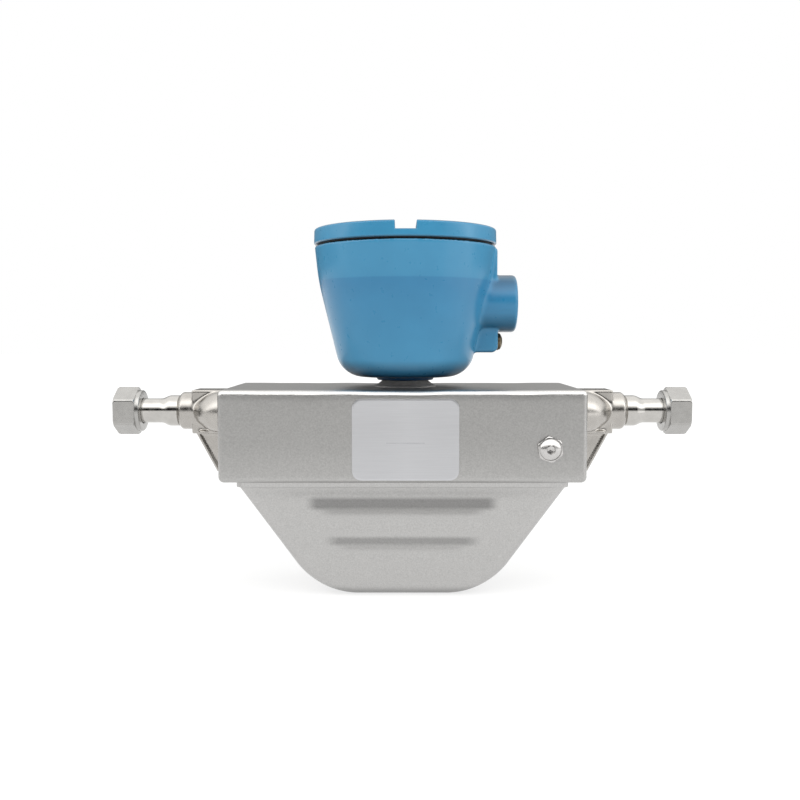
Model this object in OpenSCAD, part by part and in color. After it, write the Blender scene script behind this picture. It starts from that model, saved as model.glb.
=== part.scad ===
// Coriolis flow meter: a welded steel sensor case with twin bent flow tubes,
// union-nut process fittings on one axis, and a cast electronics head on a neck.
// Origin: centre of the flat underside of the pan. +X runs along the flow, +Z is up.

/* [Case box] */
// Length of the box along the flow
case_len = 196; // [180:0.5:220]
// Width of the box, front to back
case_wid = 78; // [72:1:100]
// Height of the box
case_hgt = 49.5; // [45:0.1:60]
// Thickness of the sheet
case_wall = 2; // [1:0.25:3]
// Radius of the rolled outer edges
case_edge_r = 3; // [1:0.25:6]
// Height of the flow axis above the box floor
flow_rise = 35.5; // [30:0.1:36]

/* [Pan] */
// Height of the pan, from its flat underside to the box
pan_hgt = 63.7; // [58:0.1:80]
// Distance of the pan's ends in from the ends of the box
pan_end_inset = 10; // [6:0.25:16]
// Distance of the pan's faces in from the faces of the box
pan_side_inset = 5; // [4:0.5:8]
// Width lost to draft on the way down
pan_draft = 8; // [4:1:12]
// Angle of the sloping ends to the floor
pan_slope = 55.5; // [50:0.5:60]
// Radius of the bend from each end to the floor
pan_bend_r = 31; // [22:0.5:40]
// Radius of the pressed edge round the floor
pan_edge_r = 9; // [6:0.5:12]
// Radius of the upright corners at the top
pan_corner_r = 4; // [3:0.5:6]
// Thickness of the pan sheet
pan_wall = 1.6; // [1:0.1:2.5]
// Thickness of the weld flange
flange_thk = 3; // [2:0.25:4]
// How far the flange stands out past the pan body
flange_lip = 1.2; // [0.5:0.1:2]
// Width of the sheet left round the way down into the pan, at its ends and its faces
way_land = [8, 6]; // [5:0.5:10]

/* [Pressed grooves] */
// Height of each groove's middle, lower one first
groove_z = [30, 50.5];
// Length of each groove, end to end
groove_len = [76, 97];
// Rounding radius of each groove
groove_r = [4.5, 5.5];
// Depth of each groove
groove_depth = [1.5, 2.1];

/* [Process fittings] */
// Distance from the collar's face to the mouth of the union nut
nut_reach = 35.6; // [34:0.1:50]
// Hexagon of the union nut across its flats
nut_flats = 23.8; // [22.5:0.1:27]
// Length of the hexagon
nut_len = 12; // [11.5:0.1:15]
// Length of the round collar behind the hexagon
nut_collar_len = 2.4; // [2:0.1:4]
// Radius of the round collar
nut_collar_r = 11.6; // [11:0.1:13]
// Radius of the thread in the nut
nut_thread_r = 9.5; // [9:0.1:10]
// Thickness of the back wall of the nut
nut_back = 3.2; // [2.8:0.1:4.5]
// Outer radius of the gland tube
gland_r = 6.9; // [6.4:0.05:7.5]
// Radius of the flow bore
flow_bore_r = 5.2; // [4:0.1:5.6]
// Radius of the gland head held by the nut
gland_head_r = 9.1; // [8.8:0.1:9.4]
// Thickness of the gland head
gland_head_len = 2.8; // [2.4:0.1:3.6]
// Radius of the swelling next to the manifold
gland_bulge_r = 8.7; // [8:0.1:10]
// Cord thickness of the face seal
face_seal_d = 1.8; // [1.4:0.1:2]

/* [Manifold castings] */
// Length of the casting from the case to the face of its collar
cast_reach = 28; // [25:0.1:36]
// Length of the collar
collar_len = 8.5; // [6:0.5:10]
// Radius of the collar
collar_r = 10.55; // [10:0.05:12]
// Height of the casting's flat top above the flow axis
cast_rise = 12.2; // [11:0.1:13]
// Width of the casting where it meets the case, front to back
cast_wid = 50; // [44:1:60]
// Radius of the rounded shoulder over each branch
shoulder_r = 22; // [20:0.1:24]
// Depth of the shoulder's centre below the flow axis
shoulder_drop = 10; // [8:0.1:11]
// Thickness of the cast webs
cast_web = 5; // [3:0.5:7]
// Thickness of the ribs that edge the webs
cast_rib = 1.8; // [1.2:0.1:3]

/* [Flow tubes] */
// Outer radius of a flow tube
tube_r = 4; // [3.5:0.1:4.4]
// Wall of a flow tube
tube_wall = 0.8; // [0.5:0.05:1.2]
// Distance of each tube from the middle plane
tube_y = 14; // [13.5:0.5:17]
// Height of the lowest run of the tubes
tube_low_z = 17; // [14:0.5:20]
// Radius of the bend under the manifolds
tube_bend_top_r = 18; // [15:0.5:22]
// Radius of the bend at the bottom
tube_bend_low_r = 20; // [16:0.5:24]
// Angle of the tube legs to the floor
tube_slope = 66; // [62:0.5:70]
// Thickness of a brace bar
brace_thk = 2.5; // [1.5:0.25:4]

/* [Coils and magnets] */
// Outer radius of a coil
coil_r = 7; // [6:0.25:8]
// Length of a coil
coil_len = 8.5; // [7:0.25:8.75]
// Radius of a magnet
magnet_r = 3.6; // [3:0.1:4]
// Gap between a magnet and the coil round it
coil_gap = 0.8; // [0.5:0.1:1.2]

/* [Head] */
// Offset of the head's axis from the middle of the case
head_x = 1.6; // [0:0.1:4]
// Height of the head's underside above the case
head_lift = 5.6; // [5:0.1:9]
// Height of the head from its underside to the seam
head_hgt = 72.4; // [68:0.1:84]
// Radius lost over the upper band
head_band_lean = 2; // [1:0.1:3]
// Height of the upper band below the seam
head_band_hgt = 19; // [16:0.5:24]
// Slope of the wall below the band
head_taper = 13.5; // [12:0.25:15]
// Radius of the bottom corner
head_corner_r = 11; // [8:0.5:13]
// Thickness of the housing wall
head_wall = 4; // [3:0.25:4.5]
// Thickness of the housing floor
head_floor = 4.6; // [4:0.2:6]
// Radius of the socket under the head
socket_r = 16.05; // [15:0.05:18]
// How far the socket hangs below the head
socket_drop = 1.9; // [1:0.1:2.4]
// Thickness of the housing's mouth round the cover's thread
head_mouth_wall = 5.3; // [4.6:0.1:6.5]

/* [Conduit boss] */
// Radius of the boss
boss_r = 16; // [14:0.25:17]
// How far the boss's face stands out past the cover
boss_stand = 11.1; // [8:0.1:16]
// Height of the boss's axis above the head's underside
boss_z = 40.9; // [38:0.1:44]
// Radius of the conduit thread
conduit_r = 9.6; // [9:0.1:10.5]
// Length of the conduit thread
conduit_len = 14.5; // [12:0.5:16]
// Width of the flat pad above the boss
pad_wid = 21; // [16:1:26]

/* [Ground lug] */
// Height of the lug
lug_hgt = 12.8; // [11:0.2:13]
// Width of the lug, front to back
lug_wid = 16; // [14:0.5:22]
// How far the lug's face stands out past the cover
lug_stand = 0.8; // [0:0.1:4]
// Radius of the ground screw's head
ground_head_r = 4.6; // [4:0.1:5.2]

/* [Cover] */
// Outer radius of the cover
cover_r = 51; // [46:0.1:58]
// How far the cover's rim stands out past the housing
cover_rim_step = 0.4; // [0.2:0.1:1]
// Height of the cover above the seam
cover_hgt = 8.3; // [7.5:0.1:12]
// Open seam between the cover and the housing
seam_gap = 1.1; // [0.8:0.1:1.6]
// Width of the slot for a bar
slot_wid = 11.1; // [9:0.1:14]
// Depth of the slot
slot_depth = 4.5; // [4:0.1:5]
// Length of the threaded skirt
skirt_len = 11; // [10:0.5:13]
// Pitch of the cover's thread
cover_pitch = 2; // [1.5:0.5:3]
// Cord thickness of the cover seal
cover_seal_d = 2; // [1.6:0.1:2.2]

/* [Name plate and vent plug] */
// Width of the name plate
plate_wid = 56.7; // [40:0.1:70]
// Height of the name plate
plate_hgt = 43.4; // [30:0.1:44]
// Corner radius of the name plate
plate_r = 5; // [2:0.5:8]
// Thickness of the name plate
plate_thk = 0.5; // [0.3:0.1:1]
// How far the plate's middle sits below the middle of the box
plate_drop = 1.5; // [0:0.1:2.5]
// Distance of the plug in from the end of the box
plug_inset = 20; // [16:0.25:30]
// Height of the plug above the box floor
plug_z = 18.2; // [14:0.1:30]
// Hexagon of the plug across its flats
plug_flats = 12.6; // [11:0.1:14]

/* [Fits] */
// Radial clearance of the cover's thread in the housing
thread_fit = 0.15; // [0.1:0.05:0.25]
// Clearance between parts that are seated
seat_fit = 0.05; // [0.02:0.01:0.1]
// Radial clearance of the union nut on the gland tube
nut_fit = 0.25; // [0.15:0.05:0.4]

/* [Hidden] */
$fn = 64;
eps = 0.01;

// Sizes, heights and places that several pieces share
pan_len = case_len - 2 * pan_end_inset;
pan_wid = case_wid - 2 * pan_side_inset;
head_rim_r = cover_r - cover_rim_step;
head_band_r = head_rim_r - head_band_lean;
cover_bore_r = head_rim_r - head_mouth_wall;
boss_reach = cover_r + boss_stand;
lug_reach = cover_r + lug_stand;
plug_x = case_len / 2 - plug_inset;
collar_x = case_len / 2 + cast_reach;
nut_end = collar_x + nut_reach;
case_z = pan_hgt;
case_top = case_z + case_hgt;
flow_z = case_z + flow_rise;
pan_top_z = pan_hgt - flange_thk;
way_down = [pan_len - 2 * way_land[0], pan_wid - 2 * way_land[1]];
head_z = case_top + head_lift;
seam_z = head_z + head_hgt;
cover_z = seam_z + seam_gap;
cover_top = cover_z + cover_hgt;
spigot_reach = 14;
spigot_r = tube_r + 3.5;
socket_depth = 6;

// Points along a round arc, from angle a0 to angle a1
function arc(cx, cy, r, a0, a1, n = 8) =
    [for (i = [0:n]) [cx + r * cos(a0 + (a1 - a0) * i / n), cy + r * sin(a0 + (a1 - a0) * i / n)]];

module rounded_rect(l, w, r) {
    square([l - 2 * r, w], center = true);
    square([l, w - 2 * r], center = true);
    for (sx = [-1, 1], sy = [-1, 1])
        translate([sx * (l / 2 - r), sy * (w / 2 - r)]) circle(r);
}

// A profile drawn as [distance along the flow, radius], spun about the flow axis
module spun(points) {
    translate([0, 0, flow_z]) rotate([0, 90, 0])
        rotate_extrude($fn = 96) polygon([for (p = points) [p[1], p[0]]]);
}

// A cylinder along +X that starts at the given place
module x_rod(x, y, z, r, l, sides = 64) {
    translate([x, y, z]) rotate([0, 90, 0]) cylinder(r = r, h = l, $fn = sides);
}

module on_inlet() { mirror([1, 0, 0]) children(); }
module on_outlet() { children(); }

// ---------------------------------------------------------------- case box
// Folded and welded sheet box with rolled edges, open below into the pan
module box_form() {
    intersection() {
        linear_extrude(case_hgt) rounded_rect(case_len, case_wid, case_edge_r);
        translate([0, case_wid, case_hgt / 2]) rotate([90, 0, 0])
            linear_extrude(2 * case_wid) rounded_rect(case_len, case_hgt, case_edge_r);
        translate([-case_len, 0, case_hgt / 2]) rotate([90, 0, 90])
            linear_extrude(2 * case_len) rounded_rect(case_wid, case_hgt, case_edge_r);
    }
}

module spigot_outline(clear = 0) {
    square([2 * (spigot_r + clear), 2 * tube_y], center = true);
    for (s = [-1, 1]) translate([0, s * tube_y]) circle(spigot_r + clear);
}

module case_box() color([0.74, 0.73, 0.71]) {
    translate([0, 0, case_z]) difference() {
        box_form();
        translate([0, 0, case_hgt / 2])
            cube([case_len - 2 * case_wall, case_wid - 2 * case_wall, case_hgt - 2 * case_wall], center = true);
        // way down into the pan
        cube([way_down[0], way_down[1], 3 * case_wall], center = true);
        // way up into the neck
        translate([head_x, 0, case_hgt - 2 * case_wall]) cylinder(r = neck_bore_r + 1, h = 3 * case_wall);
        // ends of the manifolds
        for (s = [-1, 1]) translate([s * case_len / 2, 0, flow_rise]) rotate([0, 90, 0])
            translate([0, 0, -2 * case_wall]) linear_extrude(4 * case_wall) spigot_outline(seat_fit);
        // vent plug
        translate([plug_x, -case_wid / 2 + 2 * case_wall, plug_z]) rotate([90, 0, 0])
            cylinder(r = plug_thread_r + 0.3, h = 3 * case_wall);
    }
}

// ---------------------------------------------------------------- pan
// Deep-drawn pan that follows the bent tubes, with pressed stiffening grooves
pan_bend_x = pan_len / 2 - (pan_top_z - pan_bend_r) / tan(pan_slope) - pan_bend_r * tan(pan_slope / 2)
    - pan_bend_r / tan(pan_slope);
function pan_half_wid(z) = pan_wid / 2 - pan_draft / 2 * (pan_top_z - z) / (pan_top_z - pan_edge_r);

// A faceted ball whose reach along each axis is exactly its radius
module ball(r, n = 32) { sphere(r / cos(180 / n), $fn = n); }

module pan_form(inset) {
    hull() for (sx = [-1, 1], sy = [-1, 1]) {
        translate([sx * (pan_len / 2 - pan_corner_r), sy * (pan_wid / 2 - pan_corner_r), pan_top_z - 0.1])
            cylinder(r = pan_corner_r - inset, h = 0.1, $fn = 32);
        for (p = arc(pan_bend_x, pan_bend_r, pan_bend_r - pan_edge_r, -90, pan_slope - 90, 5))
            translate([sx * p[0], sy * (pan_half_wid(p[1]) - pan_edge_r), p[1]])
                ball(pan_edge_r - inset);
    }
}

// The grooves on both faces, swollen by the given amount
module grooves(swell) {
    for (i = [0:len(groove_z) - 1], sy = [-1, 1]) hull() for (sx = [-1, 1])
        translate([sx * (groove_len[i] / 2 - groove_r[i]),
            sy * (pan_half_wid(groove_z[i]) + groove_r[i] - groove_depth[i]), groove_z[i]])
            ball(groove_r[i] + swell, 24);
}

module case_pan() color([0.76, 0.75, 0.73]) difference() {
    union() {
        pan_form(0);
        translate([0, 0, pan_top_z - eps]) linear_extrude(flange_thk + eps)
            rounded_rect(pan_len + 2 * flange_lip, pan_wid + 2 * flange_lip, pan_corner_r);
    }
    difference() {
        pan_form(pan_wall);
        grooves(pan_wall);
    }
    grooves(0);
    translate([0, 0, pan_top_z - 1]) linear_extrude(flange_thk + 2)
        rounded_rect(way_down[0], way_down[1], pan_corner_r);
}

// ---------------------------------------------------------------- name plate
module name_plate() color([0.80, 0.80, 0.82])
    translate([head_x, -case_wid / 2, case_z + case_hgt / 2 - plate_drop]) rotate([90, 0, 0])
        linear_extrude(plate_thk) rounded_rect(plate_wid, plate_hgt, plate_r);

// ---------------------------------------------------------------- vent plug
// Hexagon plug with a domed crown, screwed into a boss welded behind the front wall
plug_thread_r = 4.7;
plug_head_len = 1.8;
plug_dome_r = 5.6;
plug_dome_rise = 2.4;
plug_shank = 7;
plug_turn = 8;
plug_key_r = 2.3;
plug_key_turn = 20;
vent_boss_wall = 3.3;

module at_vent() {
    translate([plug_x, -case_wid / 2, case_z + plug_z]) rotate([90, 0, 0]) children();
}

module vent_boss() color([0.62, 0.61, 0.60])
    at_vent() translate([0, 0, -case_wall - plug_shank + 1]) difference() {
        cylinder(r = plug_thread_r + vent_boss_wall, h = plug_shank - 1);
        translate([0, 0, -1]) cylinder(r = plug_thread_r + seat_fit, h = plug_shank + 1);
    }

module vent_plug() color([0.83, 0.82, 0.80]) at_vent() difference() {
    union() {
        intersection() {
            rotate(plug_turn) cylinder(r = plug_flats / sqrt(3), h = plug_head_len, $fn = 6);
            cylinder(r1 = plug_flats / sqrt(3) + 0.1, r2 = plug_flats / 2 - 0.1, h = plug_head_len);
        }
        translate([0, 0, plug_head_len]) intersection() {
            dome_r = (plug_dome_r * plug_dome_r + plug_dome_rise * plug_dome_rise) / (2 * plug_dome_rise);
            translate([0, 0, plug_dome_rise - dome_r]) sphere(dome_r, $fn = 96);
            translate([0, 0, -eps]) cylinder(r = plug_dome_r, h = plug_dome_rise + 1);
        }
        translate([0, 0, -case_wall - plug_shank]) cylinder(r = plug_thread_r, h = case_wall + plug_shank + eps);
    }
    translate([0, 0, plug_head_len]) rotate(plug_key_turn) cylinder(r = plug_key_r, h = 4, $fn = 6);
}

// ---------------------------------------------------------------- manifolds
// Casting that carries the fitting, splits the flow in two and closes the case end
pad_x = case_len / 2;
barrel_end = collar_x - collar_len;
barrel_step = 0.4;
branch_in_x = pad_x + cast_reach * 0.28;
branch_out_x = pad_x - spigot_reach + socket_depth;
shoulder_x = pad_x - 1.4;
cove_r = cast_wid / 2 - collar_r + 1;
cove_x = barrel_end + 4;
gusset_high = [barrel_end + 2 * barrel_step, cast_rib - cast_rise];
gusset_low = [pad_x + cast_reach * 0.38, 1 - flow_rise];
// Width of a rib along the flow, measured square to the sloping edge
rib_run = cast_rib * norm(gusset_high - gusset_low) / (gusset_high[1] - gusset_low[1]);

module manifold_body() {
    // collar with a chamfered outer edge, on a round barrel
    spun([[pad_x, 0], [pad_x, collar_r - barrel_step], [barrel_end, collar_r - barrel_step], [barrel_end, collar_r],
        [collar_x - (collar_r - gland_bulge_r), collar_r], [collar_x, gland_bulge_r + 0.2], [collar_x, 0]]);
    // spigot that enters the case
    translate([pad_x - spigot_reach, 0, flow_z]) rotate([0, 90, 0])
        linear_extrude(spigot_reach + eps) spigot_outline();
    // rounded shoulders over the two branches, coved in to the barrel
    intersection() {
        translate([shoulder_x, cast_wid, flow_z - shoulder_drop]) rotate([90, 0, 0])
            cylinder(r = shoulder_r, h = 2 * cast_wid, $fn = 128);
        translate([0, 0, flow_z - cast_rise + cast_rib]) linear_extrude(2 * cast_rise) difference() {
            translate([pad_x, -cast_wid / 2]) square([barrel_end - pad_x + 1, cast_wid]);
            for (s = [-1, 1]) translate([cove_x, s * (collar_r + cove_r)]) circle(cove_r, $fn = 96);
        }
    }
    // upright web on top
    translate([pad_x, -cast_web / 2, flow_z]) cube([barrel_end - pad_x, cast_web, cast_rise]);
    // flat rib under the barrel
    translate([pad_x, -cast_wid / 4, flow_z - cast_rise]) cube([barrel_end - pad_x, cast_wid / 2, cast_rib]);
    // gusset web with a rib along its edge
    translate([0, cast_web / 2, flow_z]) rotate([90, 0, 0]) linear_extrude(cast_web)
        polygon([[pad_x, gusset_high[1]], gusset_high, gusset_low, [pad_x, gusset_low[1]]]);
    translate([0, cast_wid / 5, flow_z]) rotate([90, 0, 0]) linear_extrude(2 * cast_wid / 5)
        polygon([gusset_high, gusset_high - [rib_run, 0], gusset_low - [rib_run, 0], gusset_low]);
}

module manifold() color([0.70, 0.68, 0.65]) difference() {
    manifold_body();
    // flow bore, two branches and the sockets of the tubes
    x_rod(branch_in_x - 2, 0, flow_z, flow_bore_r, collar_x - branch_in_x + 3);
    for (s = [-1, 1]) {
        run = [branch_in_x - branch_out_x, tube_y];
        translate([branch_in_x, 0, flow_z]) rotate([0, 0, s * (90 - atan2(run[0], run[1]))])
            rotate([0, -90, 0]) cylinder(r = tube_r - tube_wall, h = norm(run));
        translate([branch_out_x, s * tube_y, flow_z]) sphere(tube_r - tube_wall + eps);
        x_rod(pad_x - spigot_reach - 1, s * tube_y, flow_z, tube_r + seat_fit, socket_depth + 1);
    }
}
module inlet_manifold() on_inlet() manifold();
module outlet_manifold() on_outlet() manifold();

// ---------------------------------------------------------------- glands and union nuts
nut_rear = nut_end - nut_len - nut_collar_len;
nut_seat = nut_rear + nut_back;
head_in = nut_seat + 0.1;
head_out = head_in + gland_head_len;
bulge_blend = 6;
bulge_end = collar_x + collar_len + 2.6;
seal_r = (gland_head_r + flow_bore_r) / 2;
seal_groove_depth = 1.3;
seal_groove_half = 1;

module gland() color([0.78, 0.77, 0.74]) difference() {
    spun(concat(
        [[collar_x, 0], [collar_x, gland_bulge_r - 0.7], [collar_x + 0.7, gland_bulge_r]],
        [for (i = [0:8]) [bulge_end - bulge_blend * (1 - i / 8),
            gland_r + (gland_bulge_r - gland_r) * (1 + cos(180 * i / 8)) / 2]],
        [[head_in, gland_r], [head_in, gland_head_r], [head_out - 0.4, gland_head_r],
         [head_out, gland_head_r - 0.4], [head_out, 0]]));
    x_rod(collar_x - 1, 0, flow_z, flow_bore_r, head_out - collar_x + 2);
    // face groove for the seal
    groove_x = head_out - seal_groove_depth;
    spun([[groove_x, seal_r - seal_groove_half], [groove_x, seal_r + seal_groove_half],
        [head_out + 1, seal_r + seal_groove_half], [head_out + 1, seal_r - seal_groove_half]]);
}
module inlet_gland() on_inlet() gland();
module outlet_gland() on_outlet() gland();

module face_seal() color([0.08, 0.08, 0.08])
    translate([head_out - seal_groove_depth + face_seal_d / 2 + eps, 0, flow_z]) rotate([0, 90, 0])
        rotate_extrude($fn = 96) translate([seal_r, 0]) circle(face_seal_d / 2, $fn = 32);
module inlet_face_seal() on_inlet() face_seal();
module outlet_face_seal() on_outlet() face_seal();

module union_nut() color([0.79, 0.78, 0.75]) {
    corner_r = nut_flats / sqrt(3);
    difference() {
        union() {
            intersection() {
                x_rod(nut_rear + nut_collar_len, 0, flow_z, corner_r, nut_len, 6);
                spun([[nut_rear, 0], [nut_rear, nut_flats / 2 + 0.2],
                    [nut_rear + nut_collar_len, nut_flats / 2 + 0.2],
                    [nut_rear + nut_collar_len + 1.2, corner_r + 0.1], [nut_end - 1.5, corner_r + 0.1],
                    [nut_end, nut_flats / 2 - 0.6], [nut_end, 0]]);
            }
            spun([[nut_rear, 0], [nut_rear, nut_collar_r - 0.6], [nut_rear + 0.6, nut_collar_r],
                [nut_rear + nut_collar_len + eps, nut_collar_r], [nut_rear + nut_collar_len + eps, 0]]);
        }
        // bore round the tube, run-out groove, thread and mouth chamfer
        spun([[nut_rear - 1, 0], [nut_rear - 1, gland_r + nut_fit], [nut_seat, gland_r + nut_fit],
            [nut_seat, nut_thread_r + 0.3], [head_out + 0.6, nut_thread_r + 0.3], [head_out + 0.6, nut_thread_r],
            [nut_end - 0.8, nut_thread_r], [nut_end, nut_thread_r + 0.8], [nut_end + 1, nut_thread_r + 0.8],
            [nut_end + 1, 0]]);
    }
}
module inlet_nut() on_inlet() union_nut();
module outlet_nut() on_outlet() union_nut();

// ---------------------------------------------------------------- flow tubes
// Each tube leaves its manifold level, bends down a leg, runs level and comes back up
tube_start_x = branch_out_x - seat_fit;
bend_swell = 0.02;
run_lap = 0.05;
bend_x = pad_x - spigot_reach - 4;
leg_top = [bend_x - tube_bend_top_r * sin(tube_slope), flow_z - tube_bend_top_r * (1 - cos(tube_slope))];
leg_low_z = tube_low_z + tube_bend_low_r * (1 - cos(tube_slope));
leg_len = (leg_top[1] - leg_low_z) / sin(tube_slope);
low_bend_x = leg_top[0] - leg_len * cos(tube_slope) - tube_bend_low_r * sin(tube_slope);

// Frame on a leg of the outlet side: z runs up the leg, y is front to back
module on_leg(along) {
    translate([leg_top[0] - along * cos(tube_slope), 0, leg_top[1] - along * sin(tube_slope)])
        rotate([0, 90 - tube_slope, 0]) children();
}

// Half of a tube's run; the bends come out a shade thicker than the straight lengths
module half_run(r, swell) {
    translate([bend_x - run_lap, 0, flow_z]) rotate([0, 90, 0]) cylinder(r = r, h = tube_start_x - bend_x + run_lap);
    translate([bend_x, 0, flow_z - tube_bend_top_r]) rotate([90, 0, 0]) rotate([0, 0, 90])
        rotate_extrude(angle = tube_slope) translate([tube_bend_top_r, 0]) circle(r + swell);
    on_leg(leg_len + run_lap) cylinder(r = r, h = leg_len + 2 * run_lap);
    translate([low_bend_x, 0, tube_low_z + tube_bend_low_r]) rotate([90, 0, 0]) rotate([0, 0, -90])
        rotate_extrude(angle = tube_slope) translate([tube_bend_low_r, 0]) circle(r + swell);
}

module tube_run(r, swell) {
    half_run(r, swell);
    mirror([1, 0, 0]) half_run(r, swell);
    translate([-low_bend_x - run_lap, 0, tube_low_z]) rotate([0, 90, 0])
        cylinder(r = r, h = 2 * (low_bend_x + run_lap));
}

module flow_tube() color([0.72, 0.71, 0.69]) difference() {
    tube_run(tube_r - bend_swell, bend_swell);
    tube_run(tube_r - tube_wall, -bend_swell);
    // open ends
    for (s = [-1, 1]) translate([s * tube_start_x, 0, flow_z]) rotate([0, 90, 0])
        cylinder(r = tube_r - tube_wall, h = 2, center = true);
}
module front_flow_tube() translate([0, -tube_y, 0]) flow_tube();
module rear_flow_tube() translate([0, tube_y, 0]) flow_tube();

// Brace bars brazed across both tubes near each manifold
brace_edge = 3;
brace_along = [5, 15];
module brace() color([0.66, 0.65, 0.63]) linear_extrude(brace_thk) difference() {
    union() {
        square([2 * (tube_r + brace_edge), 2 * tube_y], center = true);
        for (s = [-1, 1]) translate([0, s * tube_y]) circle(tube_r + brace_edge);
    }
    for (s = [-1, 1]) translate([0, s * tube_y]) circle(tube_r + seat_fit);
    circle(tube_r);
}
module inlet_upper_brace() on_inlet() on_leg(brace_along[0]) brace();
module inlet_lower_brace() on_inlet() on_leg(brace_along[1]) brace();
module outlet_upper_brace() on_outlet() on_leg(brace_along[0]) brace();
module outlet_lower_brace() on_outlet() on_leg(brace_along[1]) brace();

// ---------------------------------------------------------------- coils and magnets
// Each coil rides on the front tube and its magnet on the rear one
pickoff_share = 0.55;
pickoff_along = leg_len * pickoff_share;
coil_back = tube_y - tube_r - 0.6;
bobbin_wall = 1;
winding_r = magnet_r + coil_gap + bobbin_wall;
magnet_dip = 3;
magnet_foot_r = magnet_r + 1.6;
magnet_foot_len = 2;

module at_drive() { translate([0, 0, tube_low_z]) rotate([0, 90, 0]) children(); }
module at_inlet_pickoff() { on_inlet() on_leg(pickoff_along) children(); }
module at_outlet_pickoff() { on_outlet() on_leg(pickoff_along) children(); }

// A profile [radius, distance from the middle plane] spun about the front-to-back axis
module spun_y(points) {
    rotate([-90, 0, 0]) rotate_extrude() polygon(points);
}

module coil() color([0.86, 0.84, 0.76]) spun_y([
    [magnet_r + coil_gap, -coil_back + coil_len], [coil_r, -coil_back + coil_len],
    [coil_r, -coil_back + coil_len - bobbin_wall], [winding_r, -coil_back + coil_len - bobbin_wall],
    [winding_r, -coil_back + bobbin_wall], [coil_r, -coil_back + bobbin_wall],
    [coil_r, -coil_back], [magnet_r + coil_gap, -coil_back]]);
module winding() spun_y([
    [winding_r + 0.02, -coil_back + bobbin_wall + 0.02], [coil_r - 0.3, -coil_back + bobbin_wall + 0.02],
    [coil_r - 0.3, -coil_back + coil_len - bobbin_wall - 0.02],
    [winding_r + 0.02, -coil_back + coil_len - bobbin_wall - 0.02]]);
module magnet() color([0.45, 0.45, 0.47]) spun_y([
    [0, -coil_back + magnet_dip], [magnet_r - 0.4, -coil_back + magnet_dip],
    [magnet_r, -coil_back + magnet_dip + 0.4],
    [magnet_r, coil_back - magnet_foot_len], [magnet_foot_r, coil_back - magnet_foot_len],
    [magnet_foot_r, coil_back], [0, coil_back]]);

// Saddle between a tube and what it carries, on the front side
saddle_len = 10;
module saddle() difference() {
    translate([-saddle_len / 2, -tube_y, -saddle_len / 2])
        cube([saddle_len, tube_y - coil_back - seat_fit, saddle_len]);
    translate([0, -tube_y, -saddle_len]) cylinder(r = tube_r + seat_fit, h = 2 * saddle_len);
}

module drive_coil() at_drive() coil();
module inlet_pickoff_coil() at_inlet_pickoff() coil();
module outlet_pickoff_coil() at_outlet_pickoff() coil();
module drive_magnet() at_drive() magnet();
module inlet_pickoff_magnet() at_inlet_pickoff() magnet();
module outlet_pickoff_magnet() at_outlet_pickoff() magnet();
module coil_windings() color([0.72, 0.40, 0.20]) {
    at_drive() winding();
    at_inlet_pickoff() winding();
    at_outlet_pickoff() winding();
}
module coil_saddles() color([0.60, 0.60, 0.60]) {
    at_drive() saddle();
    at_inlet_pickoff() saddle();
    at_outlet_pickoff() saddle();
}
module magnet_saddles() color([0.60, 0.60, 0.60]) {
    at_drive() mirror([0, 1, 0]) saddle();
    at_inlet_pickoff() mirror([0, 1, 0]) saddle();
    at_outlet_pickoff() mirror([0, 1, 0]) saddle();
}

// Resistance thermometer strapped along the outlet leg of the front tube, below its pickoff
rtd_r = 1.5;
rtd_len = 12;
module temperature_sensor() color([0.85, 0.83, 0.78])
    on_outlet() on_leg(pickoff_along + saddle_len / 2 + 2)
        translate([tube_r + rtd_r + seat_fit, -tube_y, -rtd_len]) cylinder(r = rtd_r, h = rtd_len);

// ---------------------------------------------------------------- leads
// Bundle that drops from the neck between the tubes and branches to each coil
lead_r = 0.9;
lead_sleeve_r = 1.3;
connector_r = 6;
connector_top = case_top - case_wall - 1;
connector_len = 7;
lead_fork_rise = 42;
lead_fork_z = tube_low_z + lead_fork_rise;
lead_stand = coil_r + lead_sleeve_r + seat_fit;

module lead_run(a, b) {
    d = b - a;
    translate(a) rotate([0, acos(d[2] / norm(d)), atan2(d[1], d[0])]) cylinder(r = lead_r, h = norm(d), $fn = 24);
    // sleeve over the joint
    translate(b) sphere(lead_sleeve_r, $fn = 24);
}
module coil_leads() color([0.75, 0.12, 0.10]) {
    fork = [head_x, 0, lead_fork_z];
    lead_run([head_x, 0, connector_top - connector_len], fork);
    lead_run(fork, [0, 0, tube_low_z + lead_stand]);
    for (s = [-1, 1]) {
        pickoff = [s * (leg_top[0] - pickoff_along * cos(tube_slope)), 0,
            leg_top[1] - pickoff_along * sin(tube_slope)];
        lead_run(fork, pickoff + lead_stand * [-s * sin(tube_slope), 0, cos(tube_slope)]);
    }
}
module lead_connector() color([0.15, 0.15, 0.16])
    translate([head_x, 0, connector_top - connector_len]) difference() {
        cylinder(r = connector_r, h = connector_len);
        for (p = pin_places) translate([p[0], p[1], 1]) cylinder(r = pin_r + 0.1, h = connector_len, $fn = 16);
    }

// ---------------------------------------------------------------- neck
// Flared weld neck with a thread that carries the head
neck_r = 11.2;
neck_bore_r = 7;
neck_flare_r = 17.6;
neck_shoulder_r = 12.8;
socket_z = head_z - socket_drop;
neck_shoulder_z = socket_z - 0.2;
floor_top_z = head_z + head_floor;
lock_nut_hgt = 5.4;
lock_nut_r = 17;
neck_top_z = floor_top_z + lock_nut_hgt + 1;
neck_seal_r = 0.85;
neck_seal_z = (socket_z + floor_top_z) / 2;

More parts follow.
